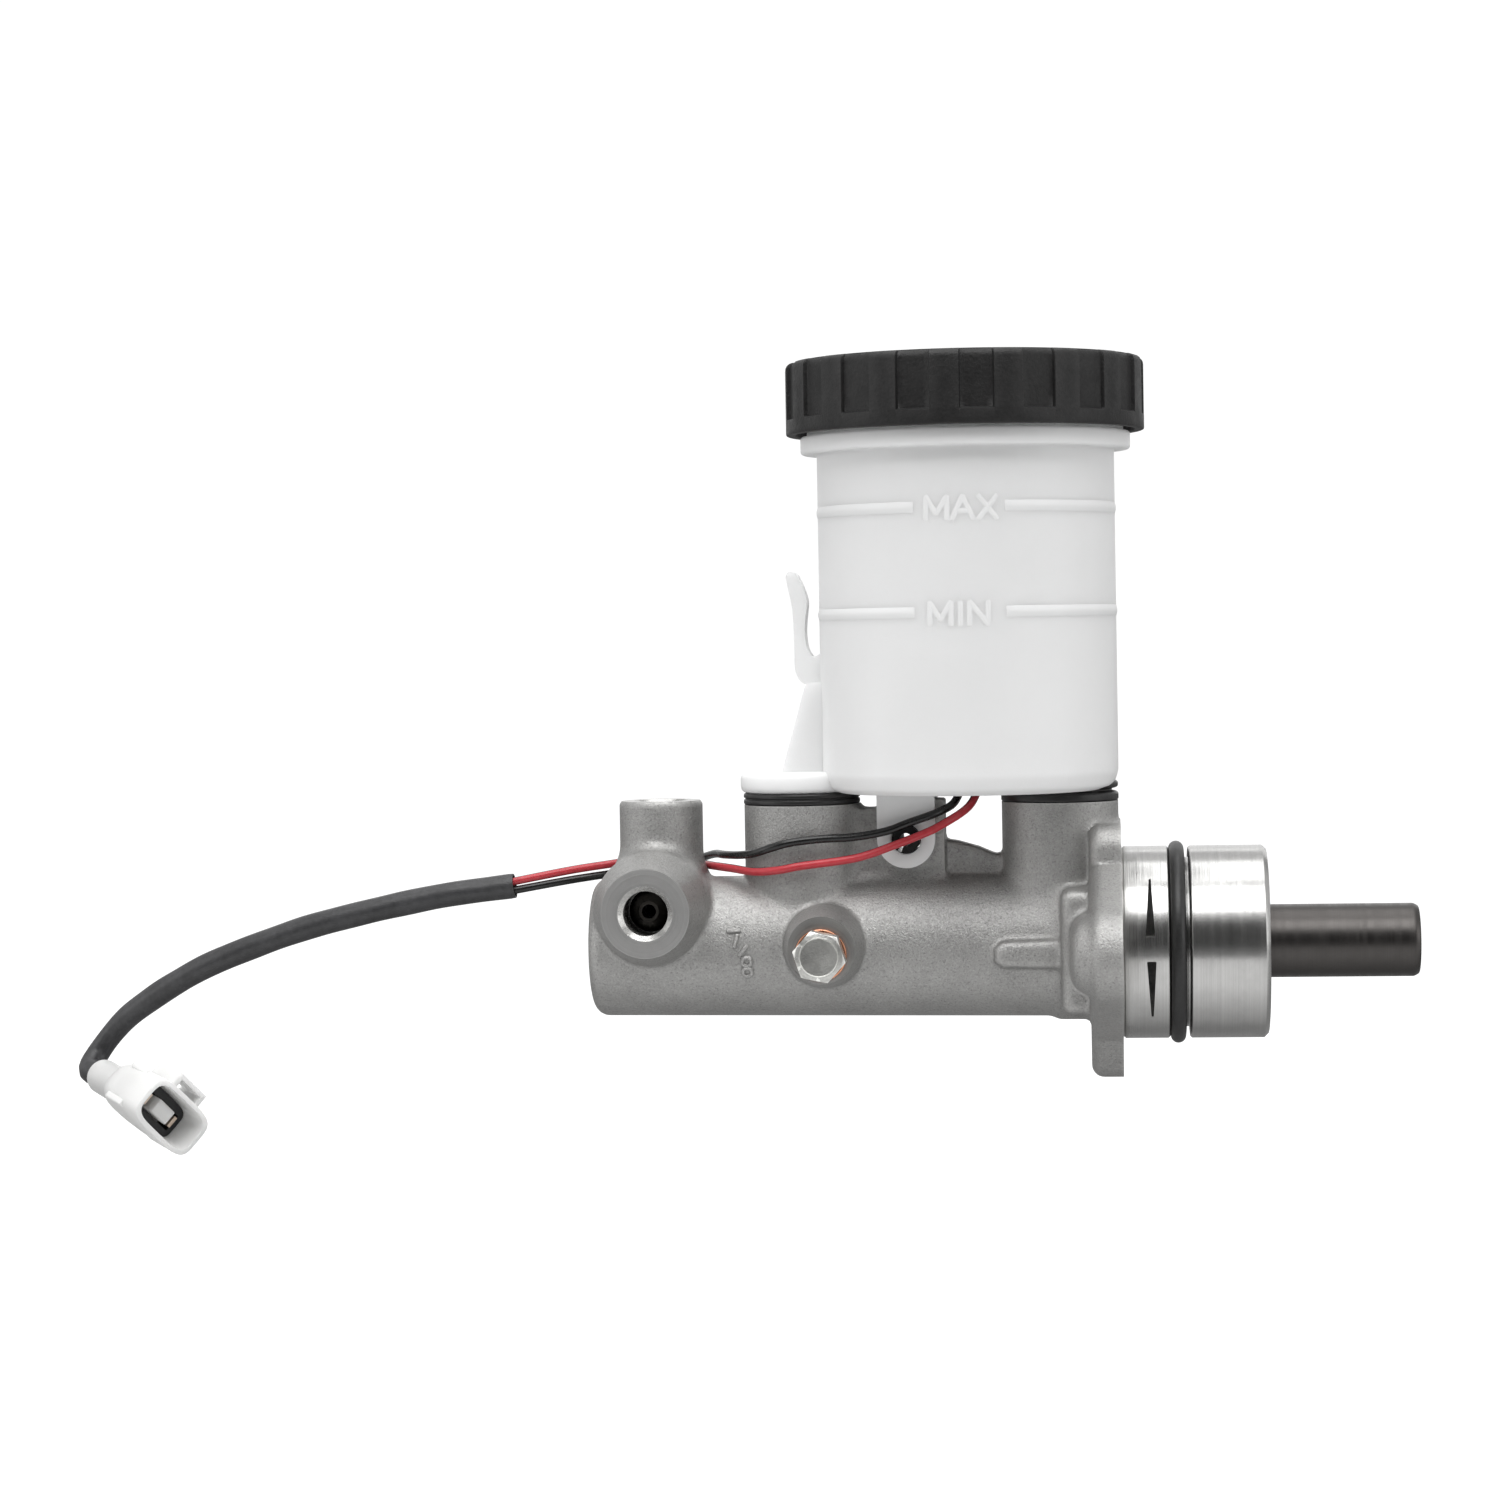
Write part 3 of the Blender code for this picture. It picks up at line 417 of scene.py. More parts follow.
def stand_for(piece, look, angle, body, slot, *nodes):
    """Smooths the piece; it rides on the body and is shown for the nodes. The slot is not used."""
    if look:
        paint(piece, look)
    piece.data.shade_smooth()
    piece.data.set_sharp_from_angle(angle=math.radians(angle))
    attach(piece, body)
    if nodes:
        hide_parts(*nodes)
    return piece


# ---- lead

BLACK_ROUTE = (
    (-34, 0, 32.2), (-34.3, -1.6, 31.2), (-35.2, -4.6, 29.9), (-36.8, -7.6, 29),
    (-39.6, -9.9, 27.9), (-44.5, -10.8, 26.3), (-48.2, -10.9, 24.9), (-52.6, -11.4, 24),
    (-57.2, -12.4, 23.5), (-62.4, -13.8, 23.4), (-68.9, -14.2, 22.7), (-73.1, -13.4, 21.6),
    (-76.8, -11.2, 20.4), (-80.4, -7, 19.8), (-84.4, 0, 19.5), (-86.7, 5.4, 19.4),
    (-89.6, 10.6, 18.5), (-93.6, 13.5, 17), (-98.9, 13.9, 15.9), (-104.7, 12.9, 15.4),
    (-109.7, 11.6, 15), (-118.7, 8.4, 13.9),
)
RED_ROUTE = (
    (-30.3, 0, 32.2), (-30.7, -1.9, 31), (-31.8, -4.8, 29.4), (-33.6, -7.4, 28),
    (-36, -9.4, 26.6), (-39.4, -10.9, 24.8), (-43.7, -11.4, 23.1), (-48.3, -11.5, 21.4),
    (-52.7, -12.3, 19.9), (-57.3, -13.3, 18.9), (-66.8, -14.4, 17.8), (-71.2, -14, 17),
    (-76.6, -11.6, 16.5), (-81.8, -6.2, 16.9), (-86.6, 0.4, 17.1), (-88.8, 5.4, 17.1),
    (-92.2, 9.6, 17.5), (-97.8, 11.6, 18.3), (-104.7, 11.6, 18), (-109.7, 10.8, 17.2),
    (-118.7, 8.6, 16),
)
SLEEVE_ROUTE = (
    (-130.8, 6, 12.9), (-144.7, 6, 11.2), (-155.7, 6, 9.2), (-166.6, 6, 6.8),
    (-177.5, 6.5, 4), (-188.5, 7, 0.3), (-199.5, 8, -4), (-207.9, 9.8, -8.4),
    (-214.1, 12, -12.2), (-219.3, 14, -15.8), (-223.5, 15.4, -19.9), (-226.7, 15, -24.2),
)


def spline_point(points, t):
    """Point on a smooth curve through the route points."""
    last = len(points) - 1
    k = min(int(t), last - 1)
    f = t - k
    a, b = points[max(k - 1, 0)], points[k]
    c, d = points[k + 1], points[min(k + 2, last)]
    bend, twist = 2 * a - 5 * b + 4 * c - d, 3 * b - 3 * c + d - a
    return 0.5 * (2 * b + (c - a) * f + bend * f**2 + twist * f**3)


def sampled(route, step):
    """Evenly spaced points, about step mm apart, along the curve through the route."""
    points = [Vector(p) for p in route]
    fine = [spline_point(points, k / 24) for k in range(24 * (len(points) - 1) + 1)]
    run = [0]
    for a, b in zip(fine, fine[1:]):
        run.append(run[-1] + (b - a).length)
    count = max(2, round(run[-1] / step))
    found = []
    at = 0
    for k in range(count + 1):
        want = run[-1] * k / count
        while at < len(run) - 2 and run[at + 1] < want:
            at += 1
        part = (want - run[at]) / max(run[at + 1] - run[at], 1e-9)
        found.append(fine[at].lerp(fine[at + 1], min(part, 1)))
    return found


def headings(points):
    last = len(points) - 1
    return [(points[min(k + 1, last)] - points[max(k - 1, 0)]).normalized() for k in range(last + 1)]


def carried_normals(points, first):
    """A direction across the curve at each point, turned as little as possible on the way."""
    found = []
    across = Vector(first)
    for ahead in headings(points):
        across = (across - ahead * across.dot(ahead)).normalized()
        found.append(across.copy())
    return found


def connector_frame():
    x = CONNECTOR_FORWARD.normalized()
    z = (CONNECTOR_UP - x * CONNECTOR_UP.dot(x)).normalized()
    y = z.cross(x)
    made = Matrix((x, y, z)).transposed().to_4x4()
    made.translation = CONNECTOR_AT * MM
    return made


def in_connector(x, y, z):
    return (connector_frame() @ (Vector((x, y, z)) * MM)) / MM


def distances(points):
    """Length run from the first point to each point."""
    run = [0]
    for a, b in zip(points, points[1:]):
        run.append(run[-1] + (b - a).length)
    return run


def skin(name, points, radius_at, sides, inner=None):
    """A mesh tube: radius_at(k, angle) gives the radius at ring k; inner makes it a sleeve."""
    bm = bmesh.new()
    normals = carried_normals(points, ALONG_Z)
    ahead = headings(points)

    def rings(radius):
        made = []
        for k, point in enumerate(points):
            side = ahead[k].cross(normals[k])
            ring = []
            for j in range(sides):
                a = 2 * math.pi * (j + 0.5) / sides
                spot = point + radius(k, a) * (math.cos(a) * normals[k] + math.sin(a) * side)
                ring.append(bm.verts.new(spot * MM))
            made.append(ring)
        return made

    loops = rings(radius_at)
    if inner:
        loops += rings(inner)[::-1]
        bridge(bm, loops + loops[:1])
    else:
        bridge(bm, loops)
        bm.faces.new(loops[0])
        bm.faces.new(loops[-1][::-1])
    return from_bmesh(name, bm)


def striped(piece, points, look, stripe, angle):
    """Gives the faces nearest one direction across the wire the tracer's colour."""
    piece.data.materials.append(look)
    piece.data.materials.append(stripe)
    normals = carried_normals(points, (0, 0, 1))
    ahead = headings(points)
    spots = np.array([p[:] for p in points]) * MM
    for face in piece.data.polygons:
        k = int(np.argmin(((spots - np.array(face.center)) ** 2).sum(1)))
        side = ahead[k].cross(normals[k])
        wanted = math.cos(angle) * normals[k] + math.sin(angle) * side
        off = Vector(face.center) - points[k] * MM
        off -= ahead[k] * off.dot(ahead[k])
        if off.length > 0 and off.normalized().dot(wanted) > 0.93:
            face.material_index = 1


def sleeve_line(step):
    """Points along the sleeve and on into the connector's barrel."""
    entry = [in_connector(x, 0, 0) for x in (-15.5, -11.5, -8.4)]
    return sampled([*SLEEVE_ROUTE, *entry], step)


def wires(looks):
    """Both wires: along their routes, side by side in the sleeve, fanned out to the terminals."""
    centre = sleeve_line(2.1)
    normals = carried_normals(centre, ALONG_Z)
    across = connector_frame().to_3x3() @ ALONG_FAR
    side = 1 if normals[-1].dot(across) > 0 else -1
    for colour, route, way in (("red", RED_ROUTE, 1), ("black", BLACK_ROUTE, -1)):
        inside = [p + n * WIRE_OFFSET * way for p, n in zip(centre, normals)]
        outside = sampled([*route, inside[0]], 1.5)
        spread_out = ((-4.5, 1.05), (-0.6, 1.3), (1.7, 1.95), (3.6, 3.7), (5.6, 4.4))
        fan = [inside[-1]] + [in_connector(x, y * way * side, 0) for x, y in spread_out]
        path = outside[:-1] + inside[:-1] + sampled(fan, 1.2)
        piece = skin("lead_wire_" + colour, path, lambda k, a: WIRE_R, 18)
        striped(piece, path, *looks[colour])
        stand_for(piece, None, 50, "casting", colour + "_pvc", "wire_" + colour)


def sleeve(look):
    """Vinyl tube over the pair: a little flattened, softly dented, folded near the connector."""
    path = sleeve_line(1.1)
    run = distances(path)
    fold = run[-1] - 15

    def bell(value, width):
        return math.exp(-((value / width) ** 2))

    def outer(k, a):
        s = run[k]
        flat = 0.05 + 0.09 * bell(s - fold, 9)
        dent = 0.018 * math.sin(s * 0.41 + 1.3) * math.cos(2 * a + 0.12 * s)
        off = (a - 4.35 + 0.05 * (s - fold) + math.pi) % (2 * math.pi) - math.pi
        crease = 0.16 * bell(s - fold - 2, 6.5) * bell(off, 0.28)
        lip = 0.03 if k in (0, len(path) - 1) else 0
        return SLEEVE_R * (1 - flat * math.cos(a) ** 2 + 0.05 * flat + dent - crease - lip)

    def inner(k, a):
        return min(SLEEVE_INNER_R, outer(k, a) - 0.3)

    piece = skin("lead_sleeve", path, outer, 48, inner)
    stand_for(piece, look, 40, "casting", "sleeve_vinyl", "cable_sleeve")


# ---- connector


def oval(width, height, power, count=48):
    """Points of a rounded rectangle, from an ellipse (power 2) towards a box (high power)."""
    found = []
    for k in range(count):
        a = 2 * math.pi * k / count
        c, s = math.cos(a), math.sin(a)
        u, v = abs(c) ** (2 / power), abs(s) ** (2 / power)
        found.append((math.copysign(u, c) * width, math.copysign(v, s) * height))
    return found


def loft(name, stations, matrix):
    """Closed skin through (x, half width, half height, power) stations along local X."""
    bm = bmesh.new()
    loops = []
    for x, *form in stations:
        loops.append([bm.verts.new((x * MM, y * MM, z * MM)) for y, z in oval(*form)])
    bridge(bm, loops)
    bm.faces.new(loops[0])
    bm.faces.new(loops[-1][::-1])
    return from_bmesh(name, bm, matrix)


def connector_shell(look):
    at = connector_frame()
    outside = [
        (-11, 2.7, 2.7, 2), (-10.9, 3.2, 3.2, 2), (-10.4, 3.6, 3.6, 2), (-9.6, 3.8, 3.8, 2),
        (-0.6, 3.85, 3.85, 2), (0.2, 4.3, 4.1, 2.2), (1, 5.4, 4.6, 2.5), (2.6, 6.7, 5, 2.8),
        (5, 7.8, 5.2, 3.2), (9, 8.5, 5.35, 3.6), (15, 8.9, 5.45, 4), (20.4, 9.15, 5.5, 4.2),
        (20.9, 9.1, 5.45, 4.2), (21, 8.9, 5.3, 4.2),
    ]
    shell = loft("connector_shell", outside, at)
    mouth = [(8.4, 7.5, 4.1, 4), (17, 7.8, 4.2, 4), (20.2, 7.95, 4.3, 4), (22, 8.4, 4.75, 4)]
    well = [(1.6, 6.2, 3.6, 3), (6.4, 7, 4, 3.6)]
    forward = at @ Matrix.Rotation(math.radians(90), 4, "Y")
    steps = join(latch_loop(at))
    steps += cut(loft("mouth_cut", mouth, at), loft("well_cut", well, at))
    steps += cut(rod("barrel_cut", 3.1, -14, 3, forward, 40))
    for side in (-1, 1):
        low, high = (5, side * 4.4 - 0.75, -1.7), (10, side * 4.4 + 0.75, 1.7)
        steps += cut(box(f"slot_cut_{side + 1}", low, high, at))
        for up in (-1, 1):
            low, high = (8, side * 6, up * 3.5), (14.5, side * 8.4, up * 4.9)
            steps += join(box(f"key_{side + 1}_{up + 1}", low, high, at, 0.3))
    steps += join(box("tongue", (7.4, -2.6, -1.7), (17, 2.6, 1.7), at, 0.35))
    return stand_for(carve(shell, steps), look, 36, "casting", "connector_nylon", "connector_housing")


def latch_loop(at):
    """Bridge over the mouth that the plug's latch slides under and snaps into."""
    outline = [(9.8, -4.7), (19.4, -4.7), (19.4, 4.7), (9.8, 4.7)]
    loop = prism("latch_loop", softened(outline, 1, True), 4.6, 8.5, at)
    tunnel = box("latch_tunnel", (6, -3.3, 5.5), (24, 3.3, 7.5), at, 0.3)
    ramp = prism("latch_ramp", [(9, 5.2), (13, 9.2), (9, 9.2)], -6, 6, at @ xz_plane())
    return carve(loop, cut(tunnel, ramp))


def connector_floor(look):
    """Black seal block inside the mouth, with one window for both terminals."""
    at = connector_frame()
    floor = prism("connector_floor", oval(7.3, 3.95, 5, 40), 8.75, 13.6, at @ yz_plane())
    carve(floor, cut(box("floor_window", (8, -6, -2), (15, 6, 2), at, 0.2)))
    return stand_for(floor, look, 32, "casting", "insert_plastic", "connector_insert")


# ---- cast body


def extruded(flat, slab, edge):
    """Distance to an extrusion from its outline's and its slab's distances, edges rounded."""
    w, v = flat + edge, slab + edge
    return np.minimum(np.maximum(w, v), 0) + np.hypot(np.maximum(w, 0), np.maximum(v, 0)) - edge


def slab(h, low, high):
    return np.maximum(low - h, h - high)


def merged(first, second, blend):
    """Union with a fillet of about this size."""
    h = np.clip(0.5 + 0.5 * (second - first) / blend, 0, 1)
    return second + (first - second) * h - blend * h * (1 - h)


def taper(u, v, reach, r1, r2):
    """Outline hulled from a circle r1 at the origin and a circle r2 at reach along +u."""
    v = np.abs(v)
    b = (r1 - r2) / reach
    a = math.sqrt(1 - b * b)
    k = -b * v + a * u
    tip = np.hypot(v, u - reach) - r2
    flank = a * v + b * u - r1
    return np.where(k < 0, np.hypot(u, v) - r1, np.where(k > a * reach, tip, flank))


def outline_distance(u, v, points):
    """Signed distance to a closed polygon."""
    best = np.full(u.shape, 1e9)
    sign = np.ones(u.shape)
    for k, (ax, ay) in enumerate(points):
        bx, by = points[k - 1]
        ex, ey = bx - ax, by - ay
        wx, wy = u - ax, v - ay
        t = np.clip((wx * ex + wy * ey) / (ex * ex + ey * ey), 0, 1)
        best = np.minimum(best, (wx - ex * t) ** 2 + (wy - ey * t) ** 2)
        c = np.stack((v >= ay, v < by, ex * wy > ey * wx))
        sign = np.where(c.all(0) | (~c).all(0), -sign, sign)
    return sign * np.sqrt(best)


def block(x, y, z, low, high, edge):
    """A box with rounded edges."""
    near = [np.maximum(a - c, c - b) + edge for c, a, b in zip((x, y, z), low, high)]
    outside = np.sqrt(sum(np.maximum(n, 0) ** 2 for n in near))
    return outside + np.minimum(np.maximum.reduce(near), 0) - edge


def barrel_radius(x):
    return BARREL_R + (x - BARREL_REAR_X) * BARREL_SLOPE


def pillar(u, v, radius, along, low, high, edge=0.6):
    """Round boss about an axis; u and v are measured from the axis."""
    return extruded(np.hypot(u, v) - radius, slab(along, low, high), edge)


def casting_field(p):
    """Signed distance, in millimetres, to the raw casting before it is machined."""
    x, y, z = p[:, 0], p[:, 1], p[:, 2]
    far = np.abs(y)
    radial = np.hypot(y, z)
    domed = FRONT_X + 0.9 * np.minimum(radial / 14.7, 1.2) ** 2
    barrel = extruded(radial - barrel_radius(x), np.maximum(domed - x, x + 2), 2.6)
    shape = merged(barrel, pillar(y, z, 15.95, x, BARREL_REAR_X, -2, 1.2), 2)
    for x_at, blend in ((FRONT_INLET_X, 0.9), (REAR_INLET_X, 2.2)):
        tower = pillar(x - x_at, y, TOWER_R, z, -2, TOWER_TOP_Z + 2, 0.8)
        shape = merged(shape, tower, blend)
    outlet = pillar(x - OUTLET_X, y, 8.9, z, -2, OUTLET_TOP_Z + 0.3, 1.3)
    wide = 9.25 + np.clip((y + PORT_FACE) * 0.27, 0, 3.1)
    root = pillar(x - NEAR_PORT_X, z - NEAR_PORT_Z, wide, y, -PORT_FACE - 1.5, 6)
    shape = merged(shape, merged(outlet, root * 0.96, 3), 1.2)
    shape = merged(shape, pillar(x - FAR_PORT_X, z, 11, y, -6, 14.5, 3), 3)
    shape = merged(shape, pillar(x - FAR_PORT_X, z, 9.4, y, 0, PORT_FACE + 1.5), 1.6)
    wide = 7 + np.clip((y + BOLT_FACE) * 0.17, 0, 1.6)
    shape = merged(shape, pillar(x - BOLT_X, z - BOLT_BOSS_Z, wide, y, -BOLT_FACE - 1.5, 4), 1)
    lug_line = [(-62, 8), (-37, 8), (-37, 31), (-50, 31), (-52, 29.2), (-62, 29.2)]
    lug = extruded(outline_distance(x, z, lug_line) + 1.6, slab(y, -5, 5), 1) - 1.6
    shape = merged(shape, np.maximum(lug, slab(y, -5, 5)), 2.4)
    web_line = [(-39, 6), (-20, 6), (-20, 19.2), (-26.5, 19.2), (-30, 20.7), (-34.5, 22), (-39, 22.6)]
    web = extruded(outline_distance(x, z, web_line), slab(y, -3, 3), 1)
    shape = merged(shape, web, 1.2)
    rib_line = [(-24.8, 1.8), (-26.6, 0.4), (-26.6, -2.6), (-24.8, -3.8), (-9, -4.2), (-9, 2.2)]
    rib = extruded(outline_distance(x, z, rib_line), slab(far, 9, 17.5), 1.6)
    shape = merged(shape, rib, 1)
    ears = taper(far, z, EAR_Y, 23.3, 10)
    foot = taper(-z, y, 19.6, 23.3, 9)
    crown = block(np.zeros_like(x), y, z, (-9, -17, 0), (9, 17, 25.6), 5)
    plate = extruded(np.minimum(np.minimum(ears, foot), crown), slab(x, -6.7, 3), 2.6)
    shape = merged(shape, plate, 1.5)
    steps = block(x, y, z, (-12.6, -21.5, -13.2), (2.5, 21.5, 12.6), 2.2)
    pads = extruded(taper(far, z, EAR_Y, 7.9, 7.9), slab(x, -10.6, 3), 3.8)
    shape = merged(shape, steps, 1.3)
    return merged(shape, pads, 1.7)


def part_of(ranges):
    """Index of a 3-D array: a range along the axes named, everything along the others."""
    return tuple(slice(*ranges[k]) if k in ranges else slice(None) for k in range(3))


def field_mesh(name, field, low, high, step):
    """Closed mesh of a distance field's zero level inside a box, all in millimetres."""
    axes = [np.arange(a, b + step, step) for a, b in zip(low, high)]
    grid = np.stack(np.meshgrid(*axes, indexing="ij"), -1)
    shape = grid.shape[:3]
    value = np.concatenate([field(part) for part in np.array_split(grid.reshape(-1, 3), 12)])
    value = value.reshape(shape)
    cells = tuple(n - 1 for n in shape)
    total, count = np.zeros((*cells, 3)), np.zeros(cells)
    crossings = []
    for axis in range(3):
        start = part_of({axis: (0, -1)})
        a, b = value[start], value[part_of({axis: (1, None)})]
        cross = (a < 0) != (b < 0)
        point = grid[start].copy()
        point[..., axis] += np.where(cross, a / np.where(cross, a - b, 1), 0) * step
        crossings.append((cross, a < 0))
        u, v = (k for k in range(3) if k != axis)
        for i, j in ((0, 0), (0, 1), (1, 0), (1, 1)):
            part = part_of({u: (i, shape[u] - 1 + i), v: (j, shape[v] - 1 + j)})
            total += point[part] * cross[part][..., None]
            count += cross[part]
    used = count > 0
    index = np.full(cells, -1)
    index[used] = np.arange(used.sum())
    spots = total[used] / count[used][:, None]
    for _ in range(3):
        here = field(spots)
        slope = np.stack([field(spots + d) - here for d in np.eye(3) * 0.02], -1) / 0.02
        move = here[:, None] * slope / np.maximum((slope**2).sum(1), 0.25)[:, None]
        spots = spots - np.clip(move, -0.3 * step, 0.3 * step)
    faces = []
    for axis, (cross, inside) in enumerate(crossings):
        u, v = (axis + 1) % 3, (axis + 2) % 3
        middle = part_of({u: (1, -1), v: (1, -1)})
        cross, inside = cross[middle], inside[middle]
        corners = []
        for i, j in ((0, 0), (1, 0), (1, 1), (0, 1)):
            part = part_of({u: (i, cells[u] - 1 + i), v: (j, cells[v] - 1 + j)})
            corners.append(index[part][cross])
        quads = np.stack(corners, -1)
        faces.append(np.where(inside[cross][:, None], quads, quads[:, ::-1]))
    mesh = bpy.data.meshes.new(name)
    mesh.from_pydata((spots * MM).tolist(), [], np.concatenate(faces).tolist())
    mesh.update()
    return linked(name, mesh)


def threaded_port(name, bottom, inner, outer, matrix, look):
    """Cutter for a port: passage, threaded wall and a bright entry chamfer."""
    profile = [(0, inner), (1.5, inner), (1.5, bottom), (PORT_R, bottom)]
    height = bottom + 3
    while height < outer - 1.7:
        profile += [(PORT_R, height), (PORT_R + 0.42, height + 0.5 * PORT_PITCH)]
        height += PORT_PITCH
    wide = PORT_R + 0.85
    profile += [(PORT_R - 0.2, outer - 0.9), (wide, outer), (wide, outer + 4), (0, outer + 4)]
    return paint(lathe(name, profile, matrix, 72), look)


def casting(cast, facing, bored):
    """The raw casting, then its machined faces, ports and bores."""
    body = field_mesh("casting_body", casting_field, (-114.6, -42.6, -30.6), (4, 42.6, 34.6), 0.8)
    paint(body, cast)
    near_port, far_port, bolt_face, tower_face, outlet_face, rear_face = facing
    near_at, far_at = place(NEAR_PORT_X, 0, NEAR_PORT_Z, ALONG_NEAR), place(FAR_PORT_X, 0, 0, ALONG_FAR)
    bolt_at, outlet_at = place(BOLT_X, 0, 0, ALONG_NEAR), place(OUTLET_X, 0, 0)
    front_at, rear_at = place(FRONT_INLET_X, 0, 0), place(REAR_INLET_X, 0, 0)
    cuts = [
        ("near_face", 11.6, PORT_FACE, 40, near_at, 64, near_port),
        ("far_face", 12, PORT_FACE, 40, far_at, 64, far_port),
        ("bolt_face", 12, BOLT_FACE, 40, bolt_at, 64, bolt_face),
        ("front_tower_face", 14.5, TOWER_TOP_Z, 40, front_at, 64, tower_face),
        ("rear_tower_face", 14.5, TOWER_TOP_Z, 40, rear_at, 64, tower_face),
        ("outlet_face", 11, OUTLET_TOP_Z, 40, outlet_at, 64, outlet_face),
        ("bolt_hole", 3.2, 9, 30, bolt_at, 40, bored),
        ("pin_hole", PIN_HOLE_R, -9, 9, place(LUG_X, 0, LUG_Z, ALONG_NEAR), 40, bored),
        ("main_bore", BORE_R, -103.5, 40, place(0, 0, 0, ALONG_X), 96, bored),
    ]
    for side in (-1, 1):
        at = place(0, side * EAR_Y, 0, ALONG_X)
        cuts.append((f"stud_hole_{side + 1}", 4.3, -14, 4, at, 64, bored))
    for k, (at, feed) in enumerate(((front_at, -62), (rear_at, -8.8))):
        cuts.append((f"grommet_hole_{k}", GROMMET_HOLE_R, 18.5, 40, at, 64, bored))
        cuts.append((f"feed_hole_{k}", 1.5, 9, 20, place(feed, 0, 0), 24, bored))
    tools = [paint(rod(*form), look) for *form, look in cuts]
    tools[6:6] = [
        paint(box("rear_face", (0, -60, -60), (20, 60, 60)), rear_face),
        threaded_port("near_port", 12.3, 3, PORT_FACE, near_at, bored),
        threaded_port("far_port", 13, 9, PORT_FACE, far_at, bored),
        threaded_port("top_port", 17, 9, OUTLET_TOP_Z, outlet_at, bored),
    ]
    stand_for(carve(body, cut(*tools)), None, 34, "casting", "cast_aluminium", "cylinder_body")


def spigot(look, dark):
    """Machined spigot with its O-ring groove, bore mouth and the narrow cast pockets, their walls
    painted dark as painted shade.
    """
    outside = softened([
        (20, -1.5), (20, 0.3), (SPIGOT_R, 0.5), (SPIGOT_R, 9.5), (19.9, 9.9), (17.9, 9.9), (17.9, 14),
        (19.9, 14), (SPIGOT_R, 14.4), (SPIGOT_R, SPIGOT_END_X - 0.9), (SPIGOT_R - 0.9, SPIGOT_END_X),
        (12.9, SPIGOT_END_X), (12.6, SPIGOT_END_X - 0.4),
    ], 0.12, steps=2)
    inside = [
        (12.6, 28.55), (13.7, 28.55), (13.7, 26.95), (12.6, 26.95), (12.6, 20.6), (BORE_R, 20.6),
        (BORE_R, -1.5),
    ]
    piece = lathe("casting_spigot", outside + inside, place(0, 0, 0, ALONG_X), 160, closed=True)
    paint(piece, look)
    upper = [(6, 14.3), (5.6, 14.3), (5.3, 11), (4.75, 2.7), (6.7, 2.7), (6.2, 11)]
    lower = [(4.95, -2.4), (5.8, -14.4), (6.25, -14.4), (6.9, -2.4)]
    steps = []
    for name, outline in (("upper", upper), ("lower", lower)):
        for end, low in (("near", 13), ("far", -24)):
            # The pocket cutters carry the dark look onto the pocket walls: raw cast skin, painted
            # darker than the casting as painted shade.
            painted_shade_pocket = side_prism(f"{name}_{end}", softened(outline, 0.3, True, 3), low, low + 11)
            steps += cut(paint(painted_shade_pocket, dark))
    stand_for(carve(piece, steps), None, 28, "casting", "cast_aluminium", "cylinder_body")


def surface_spot(x, z):
    """Frame on the near side of the barrel at (x, z), local Z outwards and local X along the bore."""
    y = -math.sqrt(barrel_radius(x) ** 2 - z**2)
    out = Vector((0, y, z)).normalized()
    made = Matrix((ALONG_X, out.cross(ALONG_X), out)).transposed().to_4x4()
    made.translation = Vector((x, y, z)) * MM
    return made


def size_mark(look):
    """Plain raised bars and two small rings, where the casting carries a raised size mark."""
    bm = bmesh.new()
    for x, z, tilt in ((-81.2, 4.3, 0), (-80.7, 2.2, 74), (-79.2, 0.2, 48)):
        turn = surface_spot(x, z) @ Matrix.Rotation(math.radians(tilt), 4, "Z")
        made = bmesh.ops.create_cube(bm, size=1)
        bmesh.ops.scale(bm, vec=(3 * MM, 0.8 * MM, 1.2 * MM), verts=made["verts"])
        bmesh.ops.transform(bm, matrix=turn, verts=made["verts"])
    marks = [from_bmesh("size_mark_bars", bm)]
    step = marks[0].modifiers.new("round", "BEVEL")
    step.width, step.segments = 0.2 * MM, 2
    for k, (x, z) in enumerate(((-78.5, -2.2), (-78.4, -4.4))):
        section = ring_section(0.95, 0, 0.5, 9)
        marks.append(lathe(f"size_mark_ring_{k}", section, surface_spot(x, z), 28, closed=True))
    for piece in marks:
        stand_for(piece, look, 40, "casting", "cast_aluminium")


# ---- metal and rubber fittings


def ring_section(cx, cy, radius, count=24):
    return [(cx + u, cy + v) for u, v in arc(0, 0, radius, 0, 360, count)[:-1]]


def o_ring(look):
    piece = lathe("o_ring", ring_section(19.75, 11.55, 1.6), place(0, 0, 0, ALONG_X), 144, closed=True)
    stand_for(piece, look, 60, "casting", "black_rubber", "spigot_o_ring")


def bolt(look, washer_look):
    """Hexagon head with chamfered corners and a dished round top, over a copper washer."""
    at = place(BOLT_X, 0, 0, ALONG_NEAR)
    shank = [(0, 7.5), (1.9, 7.5), (1.9, 11.2), (2.9, 12.2), (2.9, 26.4), (0, 26.4)]
    head = prism("bolt_hexagon", arc(0, 0, 5.6, -12, 348, 6)[:-1], 26, 31.6, at)
    form = [
        (0, 25.9), (5.1, 25.9), (5.7, 26.3), (5.7, 29.9), (4.9, 30.55), (4.15, 30.8), (4.05, 31.15),
        (3.85, 31.2), (3.75, 31.05), (0, 31),
    ]
    carve(head, [("INTERSECT", lathe("bolt_form", form, at))])
    piece = carve(lathe("bolt", shank, at, 40), join(head))
    stand_for(piece, look, 20, "casting", "zinc_plated_steel", "stop_bolt")
    section = softened([(3.2, 24.4), (5.4, 24.4), (5.4, 25.7), (3.2, 25.7)], 0.35, True)
    washer = lathe("bolt_washer", section, at, 72, closed=True)
    stand_for(washer, washer_look, 32, "casting", "copper", "stop_bolt_washer")


